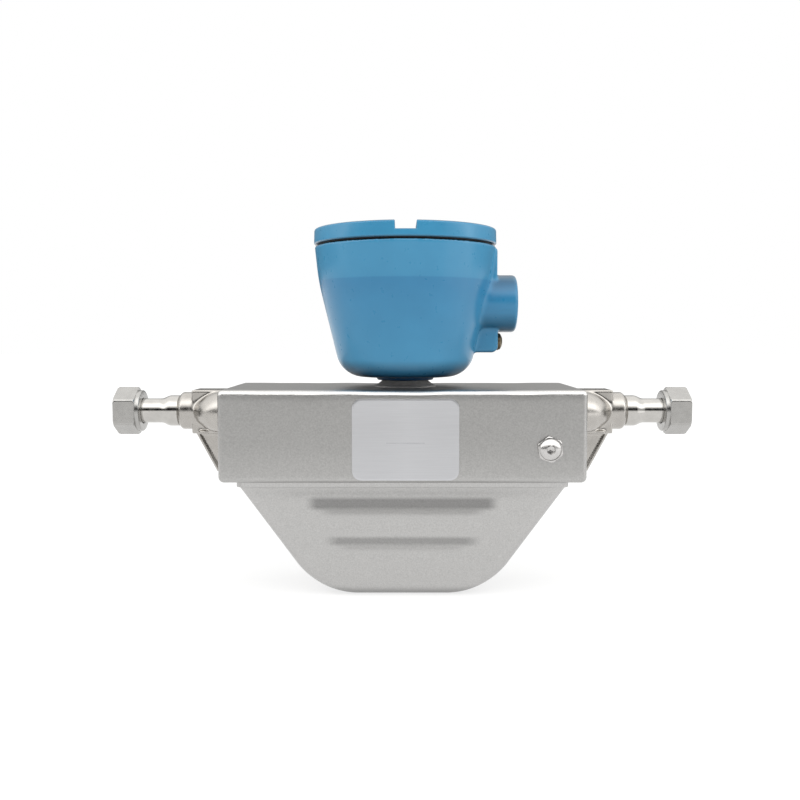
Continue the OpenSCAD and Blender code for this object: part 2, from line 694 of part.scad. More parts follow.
module neck_post() color([0.36, 0.35, 0.34]) translate([head_x, 0, 0]) rotate_extrude($fn = 96) polygon([
    [neck_bore_r, case_top], [neck_flare_r, case_top], [neck_flare_r, case_top + 0.4],
    [neck_shoulder_r + 0.6, neck_shoulder_z - 0.5], [neck_shoulder_r, neck_shoulder_z],
    [neck_r, neck_shoulder_z], [neck_r, neck_seal_z - 1], [neck_r - 1.5, neck_seal_z - 1],
    [neck_r - 1.5, neck_seal_z + 1], [neck_r, neck_seal_z + 1],
    [neck_r, neck_top_z - 0.6], [neck_r - 0.6, neck_top_z], [neck_bore_r, neck_top_z]]);

module neck_seal() color([0.08, 0.08, 0.08]) translate([head_x, 0, neck_seal_z])
    rotate_extrude($fn = 96) translate([neck_r - 1.5 + neck_seal_r + seat_fit, 0]) circle(neck_seal_r, $fn = 32);

module neck_lock_nut() color([0.70, 0.66, 0.50]) translate([head_x, 0, floor_top_z + seat_fit]) difference() {
    cylinder(r = lock_nut_r, h = lock_nut_hgt, $fn = 6);
    translate([0, 0, -1]) cylinder(r = neck_r + seat_fit, h = lock_nut_hgt + 2);
}

// Glass-sealed header with a ring of pins and one in the middle
pin_r = 0.5;
pin_ring_r = 3.6;
pin_places = concat([[0, 0]], [for (i = [0:7]) [pin_ring_r * cos(45 * i), pin_ring_r * sin(45 * i)]]);
module feedthrough() color([0.20, 0.30, 0.26]) translate([head_x, 0, 0]) {
    translate([0, 0, head_z]) cylinder(r = neck_bore_r - seat_fit, h = 3);
    for (p = pin_places) translate([p[0], p[1], connector_top - 4])
        cylinder(r = pin_r, h = neck_top_z + 3 - connector_top + 4, $fn = 16);
}

// ---------------------------------------------------------------- head housing
// Cast bowl with a threaded mouth, a conduit boss, a ground lug and a socket below
band_z = seam_z - head_band_hgt;
corner_z = head_z + head_corner_r;
function wall_r(z) = head_band_r - (band_z - z) * tan(head_taper);
outer_corner = [wall_r(corner_z) - head_corner_r / cos(head_taper), corner_z];
inner_r = head_corner_r - head_wall;
bore_foot_z = band_z + (cover_bore_r - head_band_r + head_wall / cos(head_taper)) / tan(head_taper);
standoff_hgt = neck_top_z - floor_top_z + 1;
module_z = floor_top_z + standoff_hgt;
module_gap = 2.5;
module_r = wall_r(module_z) - head_wall / cos(head_taper) - module_gap;
module_rim = 5;
module_screw_r = 1.5;
module_screw_head_r = 2.8;
module_screw_hold = 4;
standoff_post_r = 3.6;
standoff_r = module_r - module_rim - module_screw_head_r - 0.7;
standoff_bearings = [0, 120, 240];
root_r = module_r - 2;

lug_top_z = head_z + boss_z - boss_r + 1.5;
lug_foot = 2.2;
mouth_ease = 1.4;
conduit_mouth = boss_reach - 1;

module head_outside() translate([head_x, 0, 0]) {
    rotate_extrude($fn = 128) polygon(concat(
        [[0, socket_z], [socket_r - 0.5, socket_z], [socket_r, socket_z + 0.5], [socket_r, head_z]],
        arc(outer_corner[0], outer_corner[1], head_corner_r, -90, -head_taper),
        [[head_band_r, band_z], [head_rim_r, seam_z - 0.8], [head_rim_r - 0.8, seam_z], [0, seam_z]]));
    // conduit boss with a rounded mouth edge
    translate([0, 0, head_z + boss_z]) rotate([0, 90, 0]) rotate_extrude($fn = 96) polygon(concat(
        [[0, root_r], [boss_r, root_r]], arc(boss_r - mouth_ease, boss_reach - mouth_ease, mouth_ease, 0, 90, 4),
        [[0, boss_reach]]));
    // flat pad from the boss up to the seam
    translate([root_r, -pad_wid / 2, head_z + boss_z]) cube([cover_r - root_r, pad_wid, head_hgt - boss_z - 1.5]);
    // ground lug with a sloping foot
    translate([0, lug_wid / 2, lug_top_z]) rotate([90, 0, 0]) linear_extrude(lug_wid)
        polygon([[root_r, 0], [lug_reach, 0], [lug_reach, lug_foot - lug_hgt], [lug_reach - lug_foot, -lug_hgt],
            [root_r, -lug_hgt]]);
}

module head_cavity() translate([head_x, 0, 0]) rotate_extrude($fn = 128) polygon(concat(
    [[0, floor_top_z]],
    arc(outer_corner[0], floor_top_z + inner_r, inner_r, -90, -head_taper),
    [[cover_bore_r, bore_foot_z], [cover_bore_r, seam_z + 1], [0, seam_z + 1]]));

module head_housing() color([0.16, 0.48, 0.70]) difference() {
    union() {
        difference() {
            head_outside();
            head_cavity();
        }
        // standoffs under the electronics module
        for (a = standoff_bearings) translate([head_x + standoff_r * cos(a), standoff_r * sin(a), floor_top_z - 1])
            cylinder(r = standoff_post_r, h = standoff_hgt + 1, $fn = 32);
        // boss for the inner ground screw
        at_inner_ground() cylinder(r = inner_ground_boss_r, h = inner_boss_len, $fn = 32);
    }
    // neck bore
    translate([head_x, 0, socket_z - 1]) cylinder(r = neck_r + 0.3, h = head_floor + socket_drop + 2);
    // conduit thread with a wider run-out and a chamfered mouth
    translate([head_x, 0, head_z + boss_z]) rotate([0, 90, 0]) rotate_extrude($fn = 96) polygon([
        [0, root_r], [conduit_r + 0.8, root_r], [conduit_r + 0.8, conduit_mouth - conduit_len],
        [conduit_r, conduit_mouth - conduit_len], [conduit_r, conduit_mouth],
        [conduit_r + 1, boss_reach], [conduit_r + 1, boss_reach + 1], [0, boss_reach + 1]]);
    // screw holes: module standoffs, inner ground and ground lug
    for (a = standoff_bearings) translate([head_x + standoff_r * cos(a), standoff_r * sin(a), floor_top_z + 1])
        cylinder(r = module_screw_r + seat_fit, h = standoff_hgt, $fn = 24);
    at_inner_ground() translate([0, 0, 1])
        cylinder(r = inner_ground_screw_r + seat_fit, h = inner_boss_len, $fn = 24);
    x_rod(head_x + lug_reach - ground_shank, 0, ground_z, ground_shank_r + seat_fit, ground_shank + 1);
}

// ---------------------------------------------------------------- electronics
module_hgt = 15;
module_recess = 1.2;
module_top = module_z + seat_fit + module_hgt;
module_face = module_top - module_recess + seat_fit;

module electronics_module() color([0.10, 0.11, 0.12]) translate([head_x, 0, module_z + seat_fit]) difference() {
    rotate_extrude() polygon([[0, 0], [module_r - 1, 0], [module_r, 1], [module_r, module_hgt - 2],
        [module_r - 2, module_hgt], [module_r - module_rim, module_hgt],
        [module_r - module_rim, module_hgt - module_recess], [0, module_hgt - module_recess]]);
    // recess over the header pins
    translate([0, 0, -1]) cylinder(r = neck_bore_r + 1, h = 8);
    for (a = standoff_bearings) translate([standoff_r * cos(a), standoff_r * sin(a), -1])
        cylinder(r = module_screw_r + 0.3, h = module_hgt + 2, $fn = 24);
}

module module_screws() color([0.75, 0.75, 0.76])
    for (a = standoff_bearings) translate([head_x + standoff_r * cos(a), standoff_r * sin(a), module_face])
        difference() {
            rotate_extrude($fn = 48) polygon([[0, -module_hgt - module_screw_hold],
                [module_screw_r, -module_hgt - module_screw_hold],
                [module_screw_r, 0], [module_screw_head_r, 0], [module_screw_head_r, 1.2],
                [module_screw_head_r - 0.8, 2], [0, 2]]);
            translate([-3, -0.4, 1]) cube([6, 0.8, 2]);
        }

// Terminal strip on top of the module, one screw for each wire
block_len = 30;
block_wid = 11;
block_hgt = 9;
block_x = -module_r / 2;
terminals = 4;
terminal_pitch = 7.6;
terminal_screw_r = 2.5;
terminal_shank_r = 1.5;
wire_way = 3.6;
wire_way_z = 2;
module at_terminals() {
    for (i = [0:terminals - 1])
        translate([head_x + block_x, (i - (terminals - 1) / 2) * terminal_pitch, module_face]) children();
}
module terminal_block() color([0.12, 0.35, 0.20]) difference() {
    translate([head_x + block_x - block_wid / 2, -block_len / 2, module_face])
        cube([block_wid, block_len, block_hgt]);
    at_terminals() {
        translate([0, 0, block_hgt - 2]) cylinder(r = terminal_screw_r + 0.2, h = 3, $fn = 32);
        translate([0, 0, wire_way_z]) cylinder(r = terminal_shank_r + seat_fit, h = block_hgt, $fn = 24);
        translate([0, -wire_way / 2, wire_way_z]) cube([block_wid, wire_way, wire_way]);
    }
}
module terminal_screws() color([0.78, 0.74, 0.58]) at_terminals() difference() {
    union() {
        translate([0, 0, block_hgt - 2 + seat_fit]) cylinder(r = terminal_screw_r, h = 1.6, $fn = 32);
        translate([0, 0, wire_way_z + 1]) cylinder(r = terminal_shank_r, h = block_hgt - 4, $fn = 24);
    }
    translate([-3, -0.35, block_hgt - 1.2]) cube([6, 0.7, 2]);
}

// ---------------------------------------------------------------- ground screws
ground_z = lug_top_z - lug_hgt / 2 - 0.3;
ground_shank = 10;
ground_shank_r = 2.5;
washer_thk = 0.8;
inner_ground_bearing = 130;
inner_ground_boss_r = 4.2;
inner_ground_screw_r = 2;
inner_ground_z = head_z + boss_z - 4;
inner_boss_len = 6.5;
inner_boss_r = wall_r(inner_ground_z) - head_wall / cos(head_taper) + 1.2;

module about_head(bearing) {
    translate([head_x, 0, 0]) rotate(bearing) children();
}
module at_inner_ground() {
    about_head(inner_ground_bearing) translate([inner_boss_r, 0, inner_ground_z])
        rotate([0, -90, 0]) children();
}

module pan_screw(head_r, head_hgt, r, shank) difference() {
    union() {
        intersection() {
            cylinder(r = head_r, h = head_hgt);
            translate([0, 0, head_hgt - 1.6 * head_r]) sphere(1.6 * head_r, $fn = 96);
        }
        translate([0, 0, -shank]) cylinder(r = r, h = shank + eps);
    }
    translate([-head_r - 1, -0.6, head_hgt - 1.2]) cube([2 * head_r + 2, 1.2, 2]);
}
module inner_ground_screw() color([0.72, 0.62, 0.35])
    at_inner_ground() translate([0, 0, inner_boss_len + seat_fit]) pan_screw(3.8, 2.2, inner_ground_screw_r, 5);
module at_ground() {
    translate([head_x + lug_reach, 0, ground_z]) rotate([0, 90, 0]) children();
}
module ground_screw() color([0.38, 0.33, 0.22])
    at_ground() translate([0, 0, washer_thk + 2 * seat_fit])
        pan_screw(ground_head_r, 2.4, ground_shank_r, ground_shank - 1);
module ground_washer() color([0.50, 0.46, 0.34]) at_ground() translate([0, 0, seat_fit]) difference() {
    cylinder(r = ground_head_r + 0.3, h = washer_thk);
    translate([0, 0, -1]) cylinder(r = ground_shank_r + 0.2, h = 3);
}

// ---------------------------------------------------------------- cover
// Screw cover with a slot for a bar, a threaded skirt and a seal under its rim
skirt_r = cover_bore_r - thread_fit;
skirt_wall = 3.6;
skirt_in_r = skirt_r - skirt_wall;
cover_seal_ring_r = (skirt_r + cover_r) / 2 - 0.5;
cover_seal_z = seam_z + seat_fit + cover_seal_d / 2;
seal_groove_top = cover_seal_z + cover_seal_d / 2 + seat_fit;
thread_depth = 0.8;
threads = floor((skirt_len - 2.5) / cover_pitch);

module cover_seal() color([0.06, 0.06, 0.06]) translate([head_x, 0, cover_seal_z])
    rotate_extrude($fn = 128) translate([cover_seal_ring_r, 0]) circle(cover_seal_d / 2, $fn = 32);

module head_cover() color([0.18, 0.50, 0.72]) translate([head_x, 0, 0]) difference() {
    rotate_extrude($fn = 128) polygon(concat(
        [[0, cover_z], [skirt_in_r, cover_z], [skirt_in_r, cover_z - skirt_len],
         [skirt_r - 0.8, cover_z - skirt_len]],
        [for (i = [0:threads - 1], p = [[0, 0.25], [0, 0.65], [thread_depth, 0.95], [thread_depth, 1.05]])
            [skirt_r - p[0], cover_z - skirt_len + 0.4 + (i + p[1]) * cover_pitch]],
        [[skirt_r - thread_depth, cover_z], [cover_seal_ring_r - cover_seal_d / 2 - 0.1, cover_z],
         [cover_seal_ring_r - cover_seal_d / 2 - 0.1, seal_groove_top],
         [cover_seal_ring_r + cover_seal_d / 2 + 0.1, seal_groove_top],
         [cover_seal_ring_r + cover_seal_d / 2 + 0.1, cover_z], [cover_r - 0.6, cover_z],
         [cover_r, cover_z + 0.6], [cover_r, cover_top - slot_depth], [cover_r - 0.4, cover_top - slot_depth]],
        arc(cover_r - 1.8, cover_top - 1.4, 1.4, 0, 90, 4),
        [[0, cover_top]]));
    translate([-slot_wid / 2, -cover_r - 1, cover_top - slot_depth])
        cube([slot_wid, 2 * cover_r + 2, slot_depth + 1]);
}

case_box();
case_pan();
name_plate();
vent_boss();
vent_plug();
inlet_manifold();
outlet_manifold();
inlet_gland();
outlet_gland();
inlet_nut();
outlet_nut();
inlet_face_seal();
outlet_face_seal();
front_flow_tube();
rear_flow_tube();
inlet_upper_brace();
inlet_lower_brace();
outlet_upper_brace();
outlet_lower_brace();
drive_coil();
inlet_pickoff_coil();
outlet_pickoff_coil();
coil_windings();
drive_magnet();
inlet_pickoff_magnet();
outlet_pickoff_magnet();
coil_saddles();
magnet_saddles();
temperature_sensor();
coil_leads();
lead_connector();
neck_post();
neck_seal();
neck_lock_nut();
feedthrough();
head_housing();
electronics_module();
module_screws();
terminal_block();
terminal_screws();
inner_ground_screw();
ground_screw();
ground_washer();
cover_seal();
head_cover();
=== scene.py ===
# A coriolis flow meter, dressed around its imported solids, in the order in which it is put together.
import math

import bmesh
import bpy
import numpy as np
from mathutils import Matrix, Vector


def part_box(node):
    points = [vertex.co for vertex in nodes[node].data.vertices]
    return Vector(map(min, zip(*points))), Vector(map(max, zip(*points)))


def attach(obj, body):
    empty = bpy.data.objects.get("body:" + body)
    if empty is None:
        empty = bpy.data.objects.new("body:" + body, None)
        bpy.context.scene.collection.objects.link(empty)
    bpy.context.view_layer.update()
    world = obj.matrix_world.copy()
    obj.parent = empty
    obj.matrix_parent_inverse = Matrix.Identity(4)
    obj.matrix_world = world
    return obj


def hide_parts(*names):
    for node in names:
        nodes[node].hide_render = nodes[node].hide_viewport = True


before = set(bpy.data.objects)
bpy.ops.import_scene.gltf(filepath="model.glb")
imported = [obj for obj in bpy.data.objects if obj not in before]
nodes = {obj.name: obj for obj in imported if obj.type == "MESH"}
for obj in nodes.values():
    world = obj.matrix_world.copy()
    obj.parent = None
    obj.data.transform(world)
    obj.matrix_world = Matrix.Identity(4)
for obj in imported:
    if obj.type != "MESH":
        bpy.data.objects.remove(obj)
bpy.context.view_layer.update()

# ---- Studio ------------------------------------------------------------------
# A white floor in a white room. The polished steel mirrors a long overhead soft box,
# the dark gap between that and the bright floor, and a pale panel on the right.
scene = bpy.context.scene
scene.view_settings.view_transform = "Standard"

lens = bpy.data.cameras.new("camera")
lens.lens = 40.5
lens.sensor_width = 36
lens.clip_start = 0.01
camera = bpy.data.objects.new("camera", lens)
scene.collection.objects.link(camera)
camera.location = (-0.00131, -0.51124, 0.14213)
camera.rotation_euler = (math.radians(85.87), 0, 0)
scene.camera = camera

room = bpy.data.worlds.new("room")
scene.world = room
room.use_nodes = True
walls = room.node_tree


def step_of(kind, **settings):
    """A node of the room, with its settings."""
    node = walls.nodes.new(kind)
    for key, value in settings.items():
        setattr(node, key, value)
    return node


def sum_of(operation, first, second):
    """A sum of two sockets or numbers of the room."""
    node = step_of("ShaderNodeMath", operation=operation)
    for socket, value in zip(node.inputs, (first, second)):
        if isinstance(value, (int, float)):
            socket.default_value = value
        else:
            walls.links.new(value, socket)
    return node.outputs[0]


# brightness round the room from the floor behind, under and up the front, over the top
# and down the back: degrees above the horizon in front, brightness
around_stops = [(-180, 0.0), (-90, 0.8), (-30, 1.0), (-5, 1.4), (8, 0.0), (22, 0.0), (45, 2.6),
                (60, 2.6), (90, 1.5), (130, 1.4), (180, 0.0)]
direction = step_of("ShaderNodeTexCoord").outputs["Generated"]
parts = step_of("ShaderNodeSeparateXYZ")
walls.links.new(direction, parts.inputs[0])
front = sum_of("MULTIPLY", parts.outputs["Y"], -1.0)
turn = sum_of("ARCTAN2", parts.outputs["Z"], front)
around = step_of("ShaderNodeValToRGB")
walls.links.new(sum_of("ADD", sum_of("DIVIDE", turn, 2 * math.pi), 0.5), around.inputs["Fac"])
stops = around.color_ramp.elements
while len(stops) < len(around_stops):
    stops.new(0.5)
brightest = 4.0
for stop, (degrees, bright) in zip(stops, around_stops):
    stop.position = degrees / 360 + 0.5
    stop.color = (bright / brightest, bright / brightest * 0.995, bright / brightest * 0.985, 1)
shown = step_of("ShaderNodeLightPath").outputs["Is Camera Ray"]
seen, cast = walls.nodes["Background"], step_of("ShaderNodeBackground")
seen.inputs["Color"].default_value = (1, 1, 1, 1)
walls.links.new(around.outputs["Color"], cast.inputs["Color"])
cast.inputs["Strength"].default_value = brightest
blend = step_of("ShaderNodeMixShader")
walls.links.new(shown, blend.inputs[0])
walls.links.new(cast.outputs[0], blend.inputs[1])
walls.links.new(seen.outputs[0], blend.inputs[2])
walls.links.new(blend.outputs[0], walls.nodes["World Output"].inputs["Surface"])


def soft_box(name, place, aim, size, power):
    """A soft box that lights and is mirrored, but isn't seen itself."""
    light = bpy.data.lights.new(name, "AREA")
    light.shape = "RECTANGLE"
    light.size, light.size_y = size
    light.energy = power
    lamp = bpy.data.objects.new(name, light)
    scene.collection.objects.link(lamp)
    lamp.location = place
    lamp.rotation_euler = (Vector(aim) - Vector(place)).to_track_quat("-Z", "Y").to_euler()
    lamp.visible_camera = False


soft_box("panel_right", (0.42, -0.16, 0.18), (0, -0.02, 0.13), (0.34, 0.30), 0.15)

floor_mesh = bpy.data.meshes.new("floor")
floor_mesh.from_pydata([(-3, -0.95, 0), (3, -0.95, 0), (3, 6, 0), (-3, 6, 0)], [], [(0, 1, 2, 3)])
floor = bpy.data.objects.new("floor", floor_mesh)
scene.collection.objects.link(floor)


def finish(name, colour, metallic, roughness):
    """A new material, its node tree and its shader."""
    material = bpy.data.materials.new(name)
    material.use_nodes = True
    shader = material.node_tree.nodes["Principled BSDF"]
    shader.inputs["Base Color"].default_value = (*colour, 1)
    shader.inputs["Metallic"].default_value = metallic
    shader.inputs["Roughness"].default_value = roughness
    return material, material.node_tree, shader


def speckle(tree, scale, detail=4.0, stretch=(1, 1, 1)):
    """Noise in object space, counted in grains to the metre."""
    place = tree.nodes.new("ShaderNodeTexCoord")
    spread = tree.nodes.new("ShaderNodeMapping")
    spread.inputs["Scale"].default_value = stretch
    grain = tree.nodes.new("ShaderNodeTexNoise")
    grain.inputs["Scale"].default_value = scale
    grain.inputs["Detail"].default_value = detail
    tree.links.new(place.outputs["Object"], spread.inputs["Vector"])
    tree.links.new(spread.outputs["Vector"], grain.inputs["Vector"])
    return grain.outputs["Fac"]


def vary(tree, fac, low, high, socket):
    """Spreads a noise value between two numbers or two colours on a shader socket."""
    ramp = tree.nodes.new("ShaderNodeValToRGB")
    ramp.color_ramp.elements[0].position = 0.3
    ramp.color_ramp.elements[1].position = 0.7
    wide = [tuple(v) if hasattr(v, "__len__") else (v, v, v) for v in (low, high)]
    for element, value in zip(ramp.color_ramp.elements, wide):
        element.color = (*value, 1)
    tree.links.new(fac, ramp.inputs["Fac"])
    tree.links.new(ramp.outputs["Color"], socket)


def roughen(tree, shader, fac, height, strength=1.0):
    """Bump, its height in metres."""
    bump = tree.nodes.new("ShaderNodeBump")
    bump.inputs["Distance"].default_value = height
    bump.inputs["Strength"].default_value = strength
    tree.links.new(fac, bump.inputs["Height"])
    before = shader.inputs["Normal"].links
    if before:
        tree.links.new(before[0].from_socket, bump.inputs["Normal"])
    tree.links.new(bump.outputs["Normal"], shader.inputs["Normal"])


paper, tree, shader = finish("floor_paper", (0.25, 0.25, 0.25), 0, 1.0)
vary(tree, speckle(tree, 3), (0.245, 0.245, 0.245), (0.255, 0.255, 0.255), shader.inputs["Base Color"])
shader.inputs["Specular IOR Level"].default_value = 0.0
shader.inputs["Emission Color"].default_value = (1, 1, 1, 1)
shader.inputs["Emission Strength"].default_value = 0.745
floor_mesh.materials.append(paper)

# ---- Case box ----------------------------------------------------------------
# Folded and welded stainless sheet, 2 mm thick, its outer edges rolled to a 3 mm
# radius. The outside is glass-bead blasted, so it is an even, finely speckled satin.
MM = 0.001


def box_of(node):
    """Low and high corner of a CAD node, in millimetres."""
    return [np.array(corner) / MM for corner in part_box(node)]


case_low, case_high = box_of("case_box")
case_edge = 3.0


def make(name, points, faces, material, body, stands_for=(), crease=35, weld=1e-7):
    """A mesh from points in millimetres that rides on a body and stands for CAD nodes."""
    mesh = bpy.data.meshes.new(name)
    mesh.from_pydata([tuple(MM * float(c) for c in p) for p in points], [], faces)
    skin_side = bmesh.new()
    skin_side.from_mesh(mesh)
    bmesh.ops.remove_doubles(skin_side, verts=skin_side.verts[:], dist=weld)
    bmesh.ops.recalc_face_normals(skin_side, faces=skin_side.faces[:])
    skin_side.to_mesh(mesh)
    skin_side.free()
    mesh.update()
    mesh.materials.append(material)
    mesh.shade_smooth()
    if crease:
        mesh.set_sharp_from_angle(angle=math.radians(crease))
    piece = bpy.data.objects.new(name, mesh)
    scene.collection.objects.link(piece)
    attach(piece, body)
    if stands_for:
        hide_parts(*stands_for)
    return piece


def blasted_steel(name, colour, roughness):
    """Glass-bead blasted steel: fine grain, over the slight waves of rolled sheet."""
    material, tree, shader = finish(name, colour, 1, roughness)
    vary(tree, speckle(tree, 1500, 2), [0.9 * c for c in colour], [min(1, 1.09 * c) for c in colour],
         shader.inputs["Base Color"])
    vary(tree, speckle(tree, 900, 3), roughness - 0.05, roughness + 0.07, shader.inputs["Roughness"])
    roughen(tree, shader, speckle(tree, 1200, 3), 0.00005)
    roughen(tree, shader, speckle(tree, 60, 2), 0.0002, 0.4)
    roughen(tree, shader, speckle(tree, 14, 1), 0.001, 0.25)
    return material


def rolled_places(low, high, radius, pitch):
    """Grid lines along one side: close together on the rolled edges, even between them."""
    bend = [radius * math.tan(math.radians(a)) for a in (45, 36, 27, 18, 9)]
    count = max(2, int((high - low - 2 * radius) / pitch))
    return ([low + radius - b for b in bend] + list(np.linspace(low + radius, high - radius, count + 1))
            + [high - radius + b for b in bend[::-1]])


def rolled_box(low, high, radius, pitch):
    """Points and faces of a box with rolled edges and corners, in a fine grid."""
    lines = [rolled_places(low[i], high[i], radius, pitch) for i in range(3)]
    index, points, faces = {}, [], []
    core_low, core_high = np.array(low) + radius, np.array(high) - radius

    def corner(place):
        key = tuple(round(c, 4) for c in place)
        if key not in index:
            core = np.clip(place, core_low, core_high)
            out = np.array(place) - core
            index[key] = len(points)
            points.append(core + out * radius / np.linalg.norm(out))
        return index[key]

    for axis in range(3):
        u, v = (axis + 1) % 3, (axis + 2) % 3
        for level, side in ((low[axis], -1), (high[axis], 1)):
            for a, b in zip(lines[u], lines[u][1:]):
                for c, d in zip(lines[v], lines[v][1:]):
                    quad = []
                    for p, q in ((a, c), (b, c), (b, d), (a, d)):
                        place = [0.0, 0.0, 0.0]
                        place[axis], place[u], place[v] = level, p, q
                        quad.append(corner(place))
                    faces.append(quad if side > 0 else quad[::-1])
    return np.array(points), faces


def painted_light_patches(tree, shader, patches, socket="Base Color"):
    """Multiplies a socket over soft patches of painted light and painted shade.

    Each patch is its middle x and z, half length, half height, softness along x and z, and factor.
    """
    split = tree.nodes.new("ShaderNodeSeparateXYZ")
    tree.links.new(tree.nodes.new("ShaderNodeTexCoord").outputs["Object"], split.inputs[0])

    def run(operation, *values):
        node = tree.nodes.new("ShaderNodeMath")
        node.operation = operation
        for place, value in zip(node.inputs, values):
            if isinstance(value, (int, float)):
                place.default_value = value
            else:
                tree.links.new(value, place)
        return node.outputs[0]

    factor = 1.0
    for x, z, half_x, half_z, soft_x, soft_z, shade in patches:
        cover = 1.0
        for part, middle, half, soft in (("X", x, half_x, soft_x), ("Z", z, half_z, soft_z)):
            if half is None:
                continue
            off = run("ABSOLUTE", run("SUBTRACT", split.outputs[part], middle * MM))
            step = tree.nodes.new("ShaderNodeMapRange")
            step.interpolation_type = "SMOOTHSTEP"
            tree.links.new(off, step.inputs["Value"])
            step.inputs["From Min"].default_value = (half - soft) * MM
            step.inputs["From Max"].default_value = (half + soft) * MM
            step.inputs["To Min"].default_value, step.inputs["To Max"].default_value = 1, 0
            cover = run("MULTIPLY", step.outputs["Result"], cover)
        factor = run("MULTIPLY", factor, run("MULTIPLY_ADD", cover, shade - 1.0, 1.0))
    mixed = tree.nodes.new("ShaderNodeVectorMath")
    mixed.operation = "SCALE"
    tree.links.new(shader.inputs[socket].links[0].from_socket, mixed.inputs[0])
    tree.links.new(factor, mixed.inputs["Scale"])
    tree.links.new(mixed.outputs[0], shader.inputs[socket])


case_steel = blasted_steel("blasted_steel", (0.402, 0.398, 0.390), 0.34)
points, faces = rolled_box(case_low, case_high, case_edge, 3.0)
# the long top edges are a little uneven where the lid was welded on and dressed
along = points[:, 0]
wave = 0.16 * np.sin(along / 6.1) * np.sin(along / 17.3 + 1) + 0.10 * np.sin(along / 9.7 + 2)
wave = wave + 0.3 * np.exp(-(along / 42) ** 2)
edge_off = np.hypot(points[:, 2] - case_high[2], np.abs(points[:, 1]) - case_high[1])
near_edge = np.exp(-(edge_off / 4.0) ** 2)
points[:, 2] -= np.maximum(0, wave + 0.12) * near_edge
points[:, 1] -= np.sign(points[:, 1]) * 0.25 * np.maximum(0, wave + 0.1) * near_edge
make("case_box", points, faces, case_steel, "meter", ["case_box"], 50)
# a painted highlight along the rolled top edge, a line of painted shade just below it, and painted light
# along the bottom of the box
tree = case_steel.node_tree
painted_light_patches(tree, tree.nodes["Principled BSDF"], [(0, case_high[2] - 1.7, None, 1.1, 0, 0.4, 1.65),
                                            (0, case_high[2] - 4.0, None, 1.0, 0, 1.6, 0.93),
                                            (0, case_low[2] + 4, None, 10, 0, 9, 1.1)])

# ---- Case pan ----------------------------------------------------------------
# Deep-drawn stainless pan, 1.6 mm thick, with two stiffening grooves pressed into
# each face. Its weld flange closes the open floor of the case box.
pan_high = box_of("case_pan")[1]
flange_lip, flange_thick = 1.2, 3.0
pan_top = pan_high[2] - flange_thick
pan_half = (pan_high[0] - flange_lip, pan_high[1] - flange_lip)
slope = math.radians(55.5)
bend_r = 42.0
draft = 4.0
floor_r, upright_r = 9.0, 4.5
bend_x = pan_half[0] - (pan_top - bend_r) / math.tan(slope)
bend_x = bend_x - bend_r * (math.tan(slope / 2) + 1 / math.tan(slope))
toe = (bend_x + bend_r * math.sin(slope), bend_r * (1 - math.cos(slope)))
# height, length, radius and depth of each pressed groove
grooves = [(30.0, 76.0, 4.5, 0.5), (50.5, 97.0, 5.5, 0.7)]


def pan_reach(z):
    """Half length of the pan at a height."""
    if z < toe[1]:
        return bend_x + math.sqrt(max(0.0, bend_r**2 - (bend_r - z) ** 2))
    return toe[0] + (z - toe[1]) / math.tan(slope)


def pan_edge(x, z):
    """Distance from a point on the face in to the nearest edge of its outline."""
    x = abs(x)
    best = z
    if x > bend_x:
        away = math.hypot(x - bend_x, z - bend_r)
        angle = math.atan2(x - bend_x, bend_r - z)
        if angle < slope:
            best = min(best, bend_r - away)
    best = min(best, math.sin(slope) * (toe[0] - x) + math.cos(slope) * (z - toe[1]))
    return max(0.0, best)


def pan_face(x, z):
    """Distance of the pan's face from the middle plane."""
    half = pan_half[1] - draft * min(1, (pan_top - z) / (pan_top - floor_r))
    r = floor_r - upright_r * max(0, z - toe[1]) / (pan_top - toe[1])
    d = pan_edge(x, z)
    if d < r:
        half -= r - math.sqrt(max(0.0, r * r - (r - d) ** 2))
    for middle, length, radius, depth in grooves:
        run = max(0.0, abs(x) - (length / 2 - radius * 2.2))
        away = math.hypot(run / 2.2, z - middle) / radius
        half -= depth * (0.5 + 0.5 * math.cos(math.pi * min(1, away / 1.15)))
    return half


close_set = 1 - np.cos(np.linspace(0, math.pi / 2, 12))
heights = np.concatenate([floor_r * close_set, np.linspace(9.8, pan_top, 72)])
across = np.concatenate([0.12 * close_set, np.linspace(0.13, 0.5, 44)])
across = np.concatenate([across, 1 - across[-2::-1]])
points, faces = [], []
cols, rows = len(across), len(heights)
for side in (-1, 1):
    for z in heights:
        reach = pan_reach(z)
        for t in across:
            x = reach * (2 * t - 1)
            points.append((x, side * pan_face(x, z), z))
for s in range(2):
    for j in range(rows - 1):
        for i in range(cols - 1):
            a = s * rows * cols + j * cols + i
            quad = [a, a + 1, a + cols + 1, a + cols]
            faces.append(quad if s == 0 else quad[::-1])
left = [j * cols for j in range(rows - 1, 0, -1)]
right = [j * cols + cols - 1 for j in range(1, rows)]
loop = left + list(range(cols)) + right
back = rows * cols
for a, b in zip(loop, loop[1:]):
    faces.append([a, a + back, b + back, b])
mouth = [(rows - 1) * cols + i for i in range(cols)]
faces.append(mouth + [i + back for i in mouth[::-1]])


def rounded(half_wide, half_high, r, steps=12):
    """Outline of a rectangle with rounded corners, anticlockwise."""
    out = []
    for cx, cz, a0 in ((1, 1, 0), (-1, 1, 90), (-1, -1, 180), (1, -1, 270)):
        for a in np.radians(np.linspace(a0, a0 + 90, steps + 1)):
            out.append((cx * (half_wide - r) + r * math.cos(a), cz * (half_high - r) + r * math.sin(a)))
    return out


